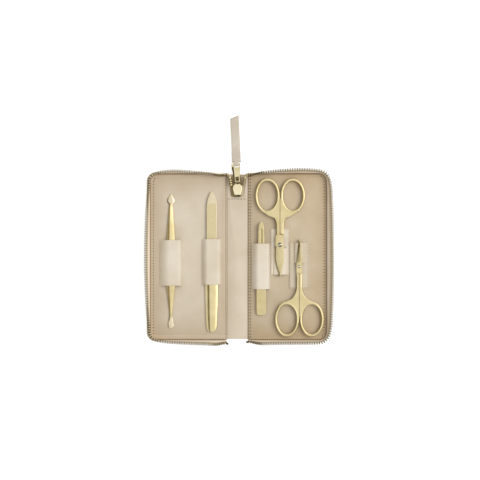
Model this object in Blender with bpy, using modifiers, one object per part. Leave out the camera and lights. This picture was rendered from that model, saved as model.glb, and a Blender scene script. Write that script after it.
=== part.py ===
"""A zip-round leather manicure case, unzipped and lying open like a book, with its five tools.

Metres, +Z up. The origin is the middle of the spine's resting face. +X runs to the right half and
+Y up the spine to the parked zip slider. The tools lie in the open halves under leather sleeves.
"""

import math

import bmesh
import bpy
from mathutils import Matrix, Vector

# The flat layers of the case, and the gap kept between pieces that rest on each other
LEATHER = 0.0012
BOARD = 0.0010
LINING = 0.0006
SEAT_GAP = 0.0003

# The spine and the two halves
SPINE_WIDTH = 0.0194
SPINE_SHORT = 0.0010
CORNER_RADIUS = 0.0070
COVER_LIP = 0.0004

# The side walls, which lean outwards and drop towards the spine
WALL = 0.0010
WALL_LEAN_END = math.radians(22)
WALL_LEAN_CORNER = math.radians(20)
WALL_LEAN_SIDE = math.radians(26)
RIM_END_Z = 0.0062
RIM_RISE = 0.0140

# The zip
TAPE = 0.0007
TAPE_SHARE = 0.40
TEETH_HEIGHT = 0.0020
TEETH_THICK = 0.0017
TOOTH_PITCH = 0.0020
TOOTH_NOTCH = 0.0009
STOP_LENGTH = 0.0016

# The cut-out in the spine's lining, and what lies in it
CUTOUT_LENGTH = 0.0206
CUTOUT_WIDTH = 0.0120
CUTOUT_FLARE = 0.0024
TAIL_EASE = 0.0005
WING_RISE = 0.0034
WING_LENGTH = 0.0062
WING_SPREAD = 0.0016
BOTTOM_STOP_WIDTH = 0.0050
BOTTOM_STOP_DEPTH = 0.0012
BOTTOM_STOP_HEIGHT = 0.0026

# The slider: two plates on a post, with the lug that holds the pull
SLIDER_LENGTH = 0.0104
SLIDER_WIDTH = 0.0087
SLIDER_TAIL_WIDTH = 0.0064
SLIDER_PLATE = 0.0008
SLIDER_THROAT = 0.0023
SLIDER_POST = 0.0011
SLIDER_FLANGE = 0.0006
SLIDER_FLANGE_DEPTH = 0.0006
SLIDER_TRAVEL = 0.0030
LUG_RADIUS = 0.0022
LUG_WIDTH = 0.0018
LUG_RISE = 0.0012
LUG_REACH = 0.0017

# The metal pull and its leather strap
PULL_LENGTH = 0.0172
PULL_WIDTH = 0.0064
PULL_FOOT_WIDTH = 0.0050
PULL_THICK = 0.0012
PULL_BAR = 0.0012
PULL_FINGER_RIM = 0.0009
PULL_WINDOW = 0.0044
PULL_SLOT = 0.0028
PULL_LEAN = math.radians(2.5)
STRAP_LENGTH = 0.0452
STRAP_WIDTH = 0.0080
STRAP_NECK = 0.0038
STRAP_NECK_LENGTH = 0.0032
STRAP_LEATHER = 0.0008
STRAP_CUT = 0.0030
STRAP_SPLIT = 0.0006

# The sleeves sewn to the linings
SLEEVE = 0.0008
SLEEVE_LENGTH = 0.0420
SLEEVE_HEM = 0.0014
SLEEVE_HEADROOM = 0.0006
FIRST_SLEEVE_INSET = 0.0037
SLEEVE_SPACING = 0.0005

# The scissors' loops: a patch with a slit, arched over the rear blade
LOOP = 0.0006
LOOP_EASE = 0.0017
LOOP_SLIT = 0.0010

# Double-ended pusher and nail cleaner
PUSHER_LENGTH = 0.1237
PUSHER_WIDTH = 0.0084
PUSHER_HEIGHT = 0.0035
PUSHER_X = 0.0516
PUSHER_Y = -0.0042
PUSHER_SLEEVE_Y = -0.0056
PUSHER_SLEEVE_EASE = 0.0040
# along the length, across the width and up the height
PUSHER_SHARES = (
    (0.000, 0.07, 0.14),
    (0.018, 0.36, 0.20),
    (0.036, 0.64, 0.25),
    (0.054, 0.77, 0.28),
    (0.074, 0.68, 0.34),
    (0.092, 0.46, 0.46),
    (0.160, 0.56, 0.68),
    (0.260, 0.78, 0.88),
    (0.340, 0.95, 0.97),
    (0.500, 1.00, 1.00),
    (0.680, 0.96, 0.97),
    (0.790, 0.68, 0.80),
    (0.895, 0.36, 0.52),
    (0.915, 0.42, 0.36),
    (0.940, 0.64, 0.28),
    (0.965, 0.68, 0.26),
    (0.985, 0.50, 0.24),
    (1.000, 0.12, 0.20),
)
RIDGE_SHARES = ((-1.0, 0.35), (-0.60, 0.0), (0.60, 0.0), (1.0, 0.35), (-0.10, 1.0))

# Nail file: a thin blade set in a rounded handle. The case is as tall as the file needs
FILE_HANDLE_LENGTH = 0.0636
FILE_BLADE_LENGTH = 0.0650
FILE_POINT_LENGTH = 0.0130
FILE_BLADE_WIDTH = 0.0095
FILE_BLADE = 0.0010
FILE_HANDLE_WIDTH = 0.0119
FILE_HANDLE_HEIGHT = 0.0030
FILE_FOOT_CLEARANCE = 0.0077
FILE_TIP_CLEARANCE = 0.0168
FILE_X = 0.0139
FILE_SLEEVE_Y = -0.0047
FILE_SLEEVE_EASE = 0.0013
POINT_SHARES = ((1.0, 0.0), (0.90, 0.28), (0.68, 0.58), (0.38, 0.84), (0.0, 1.0))
HANDLE_SHARES = (
    (0.000, 0.90),
    (0.030, 0.93),
    (0.340, 1.00),
    (0.560, 0.96),
    (0.800, 0.84),
    (0.920, 0.72),
    (0.970, 0.50),
    (1.000, 0.18),
)
OVAL_SHARES = ((-1.0, 0.40), (-0.80, 0.05), (0.80, 0.05), (1.0, 0.40), (0.70, 0.86), (0.0, 1.0), (-0.70, 0.86))

# Tweezers: two sprung arms joined at the wide end
TWEEZERS_LENGTH = 0.0858
TWEEZERS_WIDTH = 0.0088
TWEEZERS_ARM = 0.0010
TWEEZERS_Y = -0.0109
TWEEZERS_OPEN = math.radians(1.9)
TWEEZERS_JOINED = 0.0040
TWEEZERS_SLOT_WIDTH = 0.0010
TWEEZERS_SLOT_LENGTH = 0.0170
TWEEZERS_SLOT_INSET = 0.0064
TWEEZERS_SLEEVE_Y = -0.0088
TWEEZERS_SLEEVE_EASE = 0.0026
# across the half width and along the length
TWEEZERS_SHARES = (
    (0.66, 0.000),
    (1.00, 0.024),
    (1.00, 0.500),
    (0.92, 0.760),
    (0.72, 0.880),
    (0.60, 0.950),
    (0.42, 0.985),
    (0.16, 1.000),
)

# Both scissors
RING_THICK = 0.0030
BLADE = 0.0010
SCREW_EDGE = 0.0012
BOSS_RISE = 0.0009
SCISSORS_SPLIT = 0.0004
STEP_GAP = 0.0007
RING_CHAMFER = 0.0005
SCREW_SHAFT_SHARE = 0.52
SCREW_HEAD = 0.0005
SCREW_SLOT = 0.0005
SCREW_SLOT_DEPTH = 0.0003

# Nail scissors
NAIL = {
    "hem": 0.0014,
    "ring_inner": (0.0092, 0.0139),
    "band": 0.0023,
    "ring_v": 0.0451,
    "shank": 0.0035,
    "step": 0.0102,
    "blade_half_width": 0.0050,
    "blade_length": 0.0295,
    "screw": 0.0021,
    "leave_ring": math.radians(235),
    # shares of the ring's distance from the split, and of its distance from the pivot
    "web_shares": ((0.88, 0.585), (0.66, 0.566), (0.48, 0.540), (0.385, 0.500)),
    # across the blade's half width and along its length
    "blade_shares": (
        (-0.84, 0.00),
        (-1.02, -0.08),
        (-1.06, -0.16),
        (-1.00, -0.36),
        (-0.80, -0.58),
        (-0.42, -0.84),
        (-0.10, -1.00),
        (0.14, -0.93),
        (0.46, -0.72),
        (0.74, -0.54),
        (0.84, -0.44),
        (0.84, -0.10),
        (0.80, 0.00),
    ),
    "wall_gap": 0.0044,
    "loop_v": -0.0064,
}

# Cuticle scissors
CUTICLE = {
    "hem": 0.0043,
    "ring_inner": (0.0091, 0.0139),
    "band": 0.0022,
    "ring_v": 0.0487,
    "shank": 0.0026,
    "step": 0.0074,
    "blade_half_width": 0.0030,
    "blade_length": 0.0244,
    "screw": 0.0015,
    "leave_ring": math.radians(226),
    "web_shares": ((1.38, 0.690), (0.90, 0.645), (0.58, 0.604), (0.37, 0.520), (0.26, 0.450)),
    "blade_shares": (
        (-0.90, 0.00),
        (-0.92, -0.25),
        (-0.78, -0.55),
        (-0.52, -0.80),
        (-0.12, -1.00),
        (0.10, -0.98),
        (0.40, -0.72),
        (0.66, -0.45),
        (0.86, -0.20),
        (0.90, 0.00),
    ),
    "wall_gap": 0.0031,
    "loop_v": -0.0006,
}
RING_SIDE_GAP = 0.0026

# How finely round forms are divided
ARC_STEPS = 6
RING_STEPS = 28
ARCH_STEPS = 10
ROUND_SIDES = 20
WELD = 1e-6
CUT_OVERRUN = 0.0010

# Heights that follow from the layers
BOARD_Z = LEATHER + SEAT_GAP
LINING_Z = BOARD_Z + BOARD + SEAT_GAP
TRAY_Z = LINING_Z + LINING
TOOL_Z = TRAY_Z + SEAT_GAP
SPINE_LINING_Z = LEATHER + SEAT_GAP
SPINE_TOP = SPINE_LINING_Z + LINING

# The fold axes lie on the spine's two edges, level with its lining. Closed, the two rims meet
FOLD_X = SPINE_WIDTH / 2
FOLD_Z = SPINE_TOP
RIM_Z = FOLD_Z + FOLD_X - SEAT_GAP / 2
WALL_FOOT_Z = LEATHER + 2 * SEAT_GAP
HALF_START = FOLD_X + SEAT_GAP
SPINE_HALF_WIDTH = FOLD_X - SEAT_GAP

# The case's height follows the file, and its width the three tools side by side in the right half
CASE_HEIGHT = FILE_FOOT_CLEARANCE + FILE_HANDLE_LENGTH + SEAT_GAP + FILE_BLADE_LENGTH + FILE_TIP_CLEARANCE
HALF_HEIGHT = CASE_HEIGHT / 2
SPINE_HALF_HEIGHT = HALF_HEIGHT - SPINE_SHORT


def sleeve_half_width(tool_width, ease):
    return tool_width / 2 + ease + SLEEVE_HEM


def loop_half_width(scissors):
    widest = max(abs(across) for across, _ in scissors["blade_shares"])
    return widest * scissors["blade_half_width"] + LOOP_EASE + scissors["hem"]


def boss_radius(scissors):
    return scissors["screw"] * SCREW_SHAFT_SHARE + SCREW_EDGE


def ring_outer(scissors):
    return tuple(radius + scissors["band"] for radius in scissors["ring_inner"])


def ring_u(scissors):
    return ring_outer(scissors)[0] + SCISSORS_SPLIT / 2


def ring_reach(scissors):
    return ring_u(scissors) + ring_outer(scissors)[0]


TWEEZERS_SLEEVE_HALF = sleeve_half_width(TWEEZERS_WIDTH, TWEEZERS_SLEEVE_EASE)
TWEEZERS_X = FOLD_X + FIRST_SLEEVE_INSET + TWEEZERS_SLEEVE_HALF
NAIL_X = TWEEZERS_X + TWEEZERS_SLEEVE_HALF + SLEEVE_SPACING + loop_half_width(NAIL)
CUTICLE_X = NAIL_X + loop_half_width(NAIL) + SLEEVE_SPACING + loop_half_width(CUTICLE)
PANEL_WIDTH = CUTICLE_X + ring_reach(CUTICLE) + RING_SIDE_GAP - FOLD_X
NAIL_Y = HALF_HEIGHT - NAIL["wall_gap"] - ring_outer(NAIL)[1] - NAIL["ring_v"]
CUTICLE_Y = CUTICLE["ring_v"] + ring_outer(CUTICLE)[1] + CUTICLE["wall_gap"] - HALF_HEIGHT

# The levels of both scissors: rear blade over the patch, then the loop, then the front blade
REAR_BLADE_Z = TOOL_Z + LOOP + SEAT_GAP
LOOP_INSIDE_Z = REAR_BLADE_Z + BLADE + SEAT_GAP
FRONT_BLADE_Z = LOOP_INSIDE_Z + LOOP + SEAT_GAP
FRONT_BLADE_TOP = FRONT_BLADE_Z + BLADE

# The zip's cut-out, the slider in it and the lug's axis
CUTOUT_Y = SPINE_HALF_HEIGHT - CUTOUT_LENGTH
BOTTOM_STOP_Y = CUTOUT_Y + SEAT_GAP
SLIDER_Y = BOTTOM_STOP_Y + BOTTOM_STOP_DEPTH + SEAT_GAP
SLIDER_Z = SPINE_TOP + SEAT_GAP
SLIDER_TOP = SLIDER_Z + 2 * SLIDER_PLATE + SLIDER_THROAT
LUG_Y = SLIDER_Y + SLIDER_LENGTH + LUG_REACH
LUG_Z = SLIDER_TOP + LUG_RISE

# The strap's fold goes round the pull's end bar, and the strap lies on the table
PULL_BAR_REACH = math.hypot(PULL_BAR / 2, PULL_THICK / 2)
STRAP_FOLD_INSIDE = PULL_BAR_REACH + SEAT_GAP
STRAP_FOLD_OUTSIDE = STRAP_FOLD_INSIDE + STRAP_LEATHER
PULL_END_Z = STRAP_FOLD_OUTSIDE + SEAT_GAP
PULL_SLOPE = math.asin((LUG_Z - PULL_END_Z) / PULL_LENGTH)
PULL_RUN = PULL_LENGTH * math.cos(PULL_SLOPE)


def new_collection(name, hidden):
    collection = bpy.data.collections.new(name)
    collection.hide_render = hidden
    bpy.context.scene.collection.children.link(collection)
    return collection


for leftover in list(bpy.data.objects):
    bpy.data.objects.remove(leftover)
CASE = new_collection("manicure_case", False)
CUTTERS = new_collection("cutters", True)


def finish(name, colour, roughness, metallic):
    """A material for one piece."""
    material = bpy.data.materials.new(name)
    material.use_nodes = True
    shader = material.node_tree.nodes["Principled BSDF"]
    shader.inputs["Base Color"].default_value = (*colour, 1)
    shader.inputs["Roughness"].default_value = roughness
    shader.inputs["Metallic"].default_value = metallic
    return material


def leather(name):
    return finish(name, (0.64, 0.53, 0.39), 0.55, 0)


def pale_leather(name):
    return finish(name, (0.74, 0.65, 0.54), 0.50, 0)


def board(name):
    return finish(name, (0.35, 0.30, 0.24), 0.90, 0)


def woven(name):
    return finish(name, (0.60, 0.50, 0.36), 0.85, 0)


def gold(name):
    return finish(name, (0.72, 0.62, 0.32), 0.32, 1)


def tooth_metal(name):
    return finish(name, (0.50, 0.45, 0.30), 0.35, 1)


def steel(name):
    return finish(name, (0.60, 0.58, 0.55), 0.28, 1)


def add(name, data, material):
    obj = bpy.data.objects.new(name, data)
    CASE.objects.link(obj)
    if material:
        data.materials.append(material)
    return obj


def axis_empty(name, place):
    """An empty on a joint's axis, which carries the pieces that move with it."""
    empty = bpy.data.objects.new(name, None)
    empty.location = place
    CASE.objects.link(empty)
    return empty


def carry(empty, *pieces):
    for piece in pieces:
        piece.parent = empty
        piece.matrix_parent_inverse = Matrix.Translation(-empty.location)


def plate(name, outlines, bottom, top, material, chamfer=0.0):
    """A flat piece from its outline and any holes, lying between two heights."""
    curve = bpy.data.curves.new(name, "CURVE")
    curve.dimensions = "2D"
    curve.fill_mode = "BOTH"
    curve.extrude = (top - bottom) / 2 - chamfer
    curve.bevel_depth = chamfer
    curve.bevel_resolution = 0
    curve.offset = -chamfer
    for outline in outlines:
        spline = curve.splines.new("POLY")
        spline.points.add(len(outline) - 1)
        for point, (x, y) in zip(spline.points, outline):
            point.co = (x, y, 0, 1)
        spline.use_cyclic_u = True
    obj = add(name, curve, material)
    obj.location.z = (bottom + top) / 2
    return obj


def mesh_piece(name, bm, material):
    mesh = bpy.data.meshes.new(name)
    bm.to_mesh(mesh)
    bm.free()
    return add(name, mesh, material)


def as_mesh(obj):
    """The same piece as a mesh, with its caps welded to its sides."""
    bpy.context.view_layer.update()
    evaluated = obj.evaluated_get(bpy.context.evaluated_depsgraph_get())
    mesh = bpy.data.meshes.new_from_object(evaluated)
    bm = bmesh.new()
    bm.from_mesh(mesh)
    bmesh.ops.remove_doubles(bm, verts=bm.verts, dist=WELD)
    bmesh.ops.recalc_face_normals(bm, faces=bm.faces)
    bm.to_mesh(mesh)
    bm.free()
    name, place = obj.name, obj.matrix_world.copy()
    bpy.data.objects.remove(obj)
    solid = add(name, mesh, None)
    solid.matrix_world = place
    return solid


def combine(obj, operation, others):
    """Joins helper solids to a piece, or cuts them out of it."""
    for other in others:
        modifier = obj.modifiers.new(other.name, "BOOLEAN")
        modifier.operation = operation
        modifier.object = other
        CASE.objects.unlink(other)
        CUTTERS.objects.link(other)
        other.hide_render = True
        other.display_type = "WIRE"


def rod(name, place, radius, length, axis="Z"):
    """A helper cylinder, centred on a place."""
    bm = bmesh.new()
    bmesh.ops.create_cone(
        bm, cap_ends=True, segments=ROUND_SIDES, radius1=radius, radius2=radius, depth=length
    )
    obj = mesh_piece(name, bm, None)
    obj.location = place
    if axis == "X":
        obj.rotation_euler.y = math.radians(90)
    return obj


def block(name, low, high):
    """A helper box between two corners."""
    bm = bmesh.new()
    bmesh.ops.create_cube(bm, size=1)
    size = Vector(high) - Vector(low)
    bmesh.ops.scale(bm, vec=size, verts=bm.verts)
    bmesh.ops.translate(bm, vec=Vector(low) + size / 2, verts=bm.verts)
    return mesh_piece(name, bm, None)


def skin(name, rows, thickness, material, outward, left_out=()):
    """An open surface over rows of points, thickened by Solidify. left_out names cells with no face."""
    bm = bmesh.new()
    grid = [[bm.verts.new(point) for point in row] for row in rows]
    for i in range(len(grid) - 1):
        for j in range(len(grid[i]) - 1):
            if (i, j) not in left_out:
                bm.faces.new((grid[i][j], grid[i][j + 1], grid[i + 1][j + 1], grid[i + 1][j]))
    obj = mesh_piece(name, bm, material)
    solidify = obj.modifiers.new("thickness", "SOLIDIFY")
    solidify.thickness = thickness
    solidify.offset = outward
    solidify.use_even_offset = True
    return obj


def loft(name, sections, material):
    """A closed solid through rings of points, flat at both ends."""
    bm = bmesh.new()
    rings = [[bm.verts.new(point) for point in section] for section in sections]
    for ring, following in zip(rings, rings[1:]):
        for i in range(len(ring)):
            j = (i + 1) % len(ring)
            bm.faces.new((ring[i], ring[j], following[j], following[i]))
    bm.faces.new(rings[0])
    bm.faces.new(rings[-1])
    bmesh.ops.recalc_face_normals(bm, faces=bm.faces)
    return mesh_piece(name, bm, material)


def arc(centre, radii, start, end, steps):
    """Points along part of an ellipse."""
    angles = [start + (end - start) * i / steps for i in range(steps + 1)]
    return [(centre[0] + radii[0] * math.cos(a), centre[1] + radii[1] * math.sin(a)) for a in angles]


def sided(side, points):
    """The points as they are for the right half, or mirrored for the left, always anticlockwise."""
    return points if side > 0 else [(-x, y) for x, y in reversed(points)]


def rectangle(half_width, low, high):
    return [(-half_width, low), (half_width, low), (half_width, high), (-half_width, high)]


# The case's flat parts
def panel_outline(side, outset):
    """The outline of a flat part of one half: square at the fold, round at the outer corners."""
    far = FOLD_X + PANEL_WIDTH + outset
    high = HALF_HEIGHT + outset
    radius = CORNER_RADIUS + outset
    points = [(HALF_START, -high)]
    points += arc((far - radius, radius - high), (radius, radius), math.radians(-90), 0, ARC_STEPS)
    points += arc((far - radius, high - radius), (radius, radius), 0, math.radians(90), ARC_STEPS)
    points.append((HALF_START, high))
    return sided(side, points)


def flat_parts(side, word):
    outset = WALL + COVER_LIP
    cover = plate(word + "_cover", [panel_outline(side, outset)], 0, LEATHER, leather(word + "_cover"))
    stiffener = plate(
        word + "_board", [panel_outline(side, -SEAT_GAP)], BOARD_Z, BOARD_Z + BOARD, board(word + "_board")
    )
    lining = plate(
        word + "_lining", [panel_outline(side, -SEAT_GAP)], LINING_Z, TRAY_Z, leather(word + "_lining")
    )
    return cover, stiffener, lining


def spine_parts():
    cover = plate(
        "spine_cover",
        [rectangle(SPINE_HALF_WIDTH, -SPINE_HALF_HEIGHT, SPINE_HALF_HEIGHT)],
        0,
        LEATHER,
        leather("spine_cover"),
    )
    narrow = CUTOUT_WIDTH / 2
    wide = narrow + CUTOUT_FLARE
    lining = plate(
        "spine_lining",
        [
            [
                (-SPINE_HALF_WIDTH, -SPINE_HALF_HEIGHT),
                (SPINE_HALF_WIDTH, -SPINE_HALF_HEIGHT),
                (SPINE_HALF_WIDTH, SPINE_HALF_HEIGHT),
                (wide, SPINE_HALF_HEIGHT),
                (narrow, CUTOUT_Y),
                (-narrow, CUTOUT_Y),
                (-wide, SPINE_HALF_HEIGHT),
                (-SPINE_HALF_WIDTH, SPINE_HALF_HEIGHT),
            ]
        ],
        SPINE_LINING_Z,
        SPINE_TOP,
        leather("spine_lining"),
    )
    return cover, lining


# The walls and the zip round them
def rim_height(x):
    """The rim drops in a smooth curve towards the spine."""
    share = min((x - HALF_START) / RIM_RISE, 1)
    return RIM_END_Z + (RIM_Z - RIM_END_Z) * share * share * (3 - 2 * share)


def wall_lines():
    """Pairs of a foot point and a rim point round the right half's three walled sides."""
    foot_x = FOLD_X + PANEL_WIDTH + WALL / 2
    foot_y = HALF_HEIGHT + WALL / 2
    radius = CORNER_RADIUS + WALL / 2
    stations = []
    end_steps = 2 * ARC_STEPS
    for i in range(end_steps):
        share = (i / end_steps) ** 1.5
        x = HALF_START + share * (foot_x - radius - HALF_START)
        lean = WALL_LEAN_END + (WALL_LEAN_CORNER - WALL_LEAN_END) * share
        stations.append((x, foot_y, math.radians(90), lean))
    for i in range(ARC_STEPS + 1):
        angle = math.radians(90) * (1 - i / ARC_STEPS)
        x = foot_x - radius + radius * math.cos(angle)
        y = foot_y - radius + radius * math.sin(angle)
        stations.append((x, y, angle, WALL_LEAN_CORNER))
    side_steps = ARC_STEPS
    for i in range(1, side_steps + 1):
        share = 1 - i / side_steps
        lean = WALL_LEAN_SIDE + (WALL_LEAN_CORNER - WALL_LEAN_SIDE) * share * share
        stations.append((foot_x, share * (foot_y - radius), 0, lean))
    stations += [(x, -y, -angle, lean) for x, y, angle, lean in reversed(stations[:-1])]
    lines = []
    for x, y, angle, lean in stations:
        rise = rim_height(x) - WALL_FOOT_Z
        out = rise * math.tan(lean)
        foot = Vector((x, y, WALL_FOOT_Z))
        rim = Vector((x + out * math.cos(angle), y + out * math.sin(angle), WALL_FOOT_Z + rise))
        lines.append((foot, rim))
    return lines


def between(foot, rim, from_foot, from_rim):
    """Two points on a wall line, at distances up from the foot and down from the rim."""
    up = (rim - foot).normalized()
    return foot + up * from_foot, rim - up * from_rim


def wall_share(foot, rim):
    """How high up a wall line the leather ends and the tape starts."""
    return ((rim - foot).length - TEETH_HEIGHT - 2 * SEAT_GAP) * (1 - TAPE_SHARE)


def wall_and_tape(side, word):
    wall_rows, tape_rows = [], []
    for foot, rim in wall_lines():
        leather_end = wall_share(foot, rim)
        length = (rim - foot).length
        wall_rows.append(between(foot, rim, 0, length - leather_end))
        tape_rows.append(between(foot, rim, leather_end + SEAT_GAP, TEETH_HEIGHT + SEAT_GAP))
    for rows in (wall_rows, tape_rows):
        for i, row in enumerate(rows):
            rows[i] = [Vector((side * point.x, point.y, point.z)) for point in row]
    wall = skin(word + "_wall", wall_rows, WALL, leather(word + "_wall"), 0)
    tape = skin(word + "_zip_tape", tape_rows, TAPE, woven(word + "_zip_tape"), 0)
    return wall, tape


def evenly(lines, spacing):
    """The same foot and rim lines, read at even steps along the rim."""
    reach = [0.0]
    for (_, rim), (_, following) in zip(lines, lines[1:]):
        reach.append(reach[-1] + (following - rim).length)
    count = round(reach[-1] / spacing)
    found, i = [], 0
    for n in range(count + 1):
        at = reach[-1] * n / count
        while i < len(lines) - 2 and reach[i + 1] < at:
            i += 1
        share = (at - reach[i]) / (reach[i + 1] - reach[i])
        found.append(tuple(a.lerp(b, share) for a, b in zip(lines[i], lines[i + 1])))
    return found


def chain(name, side, lines):
    """A run of zip teeth as one ribbed strip on the rim: every second section is a notch."""
    stations = evenly(lines, TOOTH_PITCH / 2)
    sections = []
    for n, (foot, rim) in enumerate(stations):
        before = stations[max(n - 1, 0)][1]
        after = stations[min(n + 1, len(stations) - 1)][1]
        up = (rim - foot).normalized()
        across = (after - before).cross(Vector((0, 0, 1))).normalized() * TEETH_THICK / 2
        low = rim - up * TEETH_HEIGHT
        high = rim - up * (TOOTH_NOTCH if n % 2 else 0)
        corners = (low - across, low + across, high + across, high - across)
        sections.append([Vector((side * c.x, c.y, c.z)) for c in corners])
    return loft(name, sections, tooth_metal(name))


def top_stop(side, word):
    """The metal stop that ends the chain beside the foot of the spine."""
    foot, rim = wall_lines()[-1]
    up = (rim - foot).normalized()
    low = rim - up * TEETH_HEIGHT
    corners = []
    for point in (low, rim):
        for y in (-TEETH_THICK / 2, TEETH_THICK / 2):
            corners.append(point + Vector((0, y, 0)))
    order = (corners[0], corners[1], corners[3], corners[2])
    sections = []
    for x in (HALF_START - SEAT_GAP, HALF_START - SEAT_GAP - STOP_LENGTH):
        sections.append([Vector((side * x, c.y, c.z)) for c in order])
    return loft(word + "_zip_top_stop", sections, tooth_metal(word + "_zip_top_stop"))


def zip_on_spine():
    """The tape's tail under the slider, the stop behind it and the two wings that spread to the halves."""
    narrow = CUTOUT_WIDTH / 2 - TAIL_EASE
    wide = narrow + CUTOUT_FLARE
    outline = [
        (-narrow, BOTTOM_STOP_Y),
        (narrow, BOTTOM_STOP_Y),
        (wide, SPINE_HALF_HEIGHT - SEAT_GAP),
        (-wide, SPINE_HALF_HEIGHT - SEAT_GAP),
    ]
    plate("zip_tape_tail", [outline], SPINE_LINING_Z, SPINE_TOP, woven("zip_tape_tail"))
    plate(
        "zip_bottom_stop",
        [rectangle(BOTTOM_STOP_WIDTH / 2, BOTTOM_STOP_Y, BOTTOM_STOP_Y + BOTTOM_STOP_DEPTH)],
        SPINE_TOP + SEAT_GAP,
        SPINE_TOP + SEAT_GAP + BOTTOM_STOP_HEIGHT,
        tooth_metal("zip_bottom_stop"),
    )
    for side, word in ((-1, "left"), (1, "right")):
        near = SLIDER_WIDTH / 2 + SEAT_GAP + TEETH_THICK / 2
        low_z = SLIDER_Z + TAPE / 2
        start = Vector((near, LUG_Y - WING_LENGTH / 2, low_z))
        end = Vector((near + WING_SPREAD, LUG_Y + WING_LENGTH / 2, low_z))
        lines = []
        for share in (0, 0.5, 1):
            foot = start.lerp(end, share)
            rise = TEETH_HEIGHT + 2 * SEAT_GAP + WING_RISE * (1 + share) / 2
            lines.append((foot, foot + Vector((0, 0, rise))))
        rows = []
        for foot, rim in lines:
            points = between(foot, rim, 0, TEETH_HEIGHT + SEAT_GAP)
            rows.append([Vector((side * p.x, p.y, p.z)) for p in points])
        skin("zip_wing_" + word, rows, TAPE, woven("zip_wing_" + word), 0)
        chain("zip_run_" + word, side, lines)


# The slider, its pull and the pull's strap
def slider_outline():
    """Round and wide at the mouth, straight and narrow at the tail."""
    radius = SLIDER_WIDTH / 2
    tail = SLIDER_TAIL_WIDTH / 2
    points = [(-tail, 0), (tail, 0)]
    points += arc((0, SLIDER_LENGTH - radius), (radius, radius), 0, math.radians(180), 2 * ARC_STEPS)
    return points


def slider():
    upper_z = SLIDER_TOP - SLIDER_PLATE
    body = as_mesh(plate("slider_body", [slider_outline()], upper_z, SLIDER_TOP, gold("slider_body")))
    lower = as_mesh(plate("slider_lower_plate", [slider_outline()], SLIDER_Z, SLIDER_Z + SLIDER_PLATE, None))
    middle_z = (SLIDER_Z + SLIDER_TOP) / 2
    post_y = SLIDER_LENGTH - SLIDER_WIDTH / 4
    post_height = SLIDER_THROAT + SLIDER_PLATE
    post = rod("slider_post", (0, post_y, middle_z), SLIDER_POST, post_height)
    joined = [lower, post]
    outer = SLIDER_TAIL_WIDTH / 2
    for side in (-1, 1):
        edges = sorted((side * outer, side * (outer - SLIDER_FLANGE)))
        for bottom, top in (
            (SLIDER_Z + SLIDER_PLATE / 2, SLIDER_Z + SLIDER_PLATE + SLIDER_FLANGE_DEPTH),
            (upper_z - SLIDER_FLANGE_DEPTH, upper_z + SLIDER_PLATE / 2),
        ):
            low = (edges[0], SLIDER_FLANGE, bottom)
            high = (edges[1], SLIDER_LENGTH / 2, top)
            joined.append(block("slider_flange", low, high))
    lug_y = LUG_Y - SLIDER_Y
    neck_low = (-LUG_WIDTH / 2, post_y - SLIDER_POST, upper_z + SLIDER_PLATE / 2)
    neck_high = (LUG_WIDTH / 2, lug_y, LUG_Z + LUG_RADIUS / 2)
    joined.append(rod("slider_lug", (0, lug_y, LUG_Z), LUG_RADIUS, LUG_WIDTH, "X"))
    joined.append(block("slider_lug_neck", neck_low, neck_high))
    hole_radius = PULL_BAR_REACH + SEAT_GAP
    hole = rod("slider_lug_hole", (0, lug_y, LUG_Z), hole_radius, LUG_WIDTH + CUT_OVERRUN, "X")
    combine(body, "UNION", joined)
    combine(body, "DIFFERENCE", [hole])
    for piece in [body, *joined, hole]:
        piece.location.y += SLIDER_Y
    return body


def pull():
    """The pull's foot bar turns in the lug, and its end bar holds the strap."""
    foot, end = PULL_FOOT_WIDTH / 2, PULL_WIDTH / 2
    bar = PULL_BAR / 2
    top = PULL_LENGTH + bar
    outline = [(-foot, -bar), (foot, -bar), (foot, PULL_WINDOW), (end, PULL_LENGTH - PULL_SLOT)]
    outline += [(end, top), (-end, top), (-end, PULL_LENGTH - PULL_SLOT), (-foot, PULL_WINDOW)]
    inside = foot - PULL_FINGER_RIM
    window = [(-inside, bar), (-inside, PULL_WINDOW), (inside, PULL_WINDOW), (inside, bar)]
    slot_half = STRAP_NECK / 2 + SEAT_GAP
    slot_end = PULL_LENGTH - bar
    slot_start = slot_end - PULL_SLOT
    slot = [(-slot_half, slot_start), (-slot_half, slot_end), (slot_half, slot_end), (slot_half, slot_start)]
    body = plate(
        "pull_plate", [outline, window, slot], -PULL_THICK / 2, PULL_THICK / 2, gold("pull_plate")
    )
    body.rotation_euler = (-PULL_SLOPE, 0, PULL_LEAN)
    body.location = (0, LUG_Y, LUG_Z)
    return body


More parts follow.
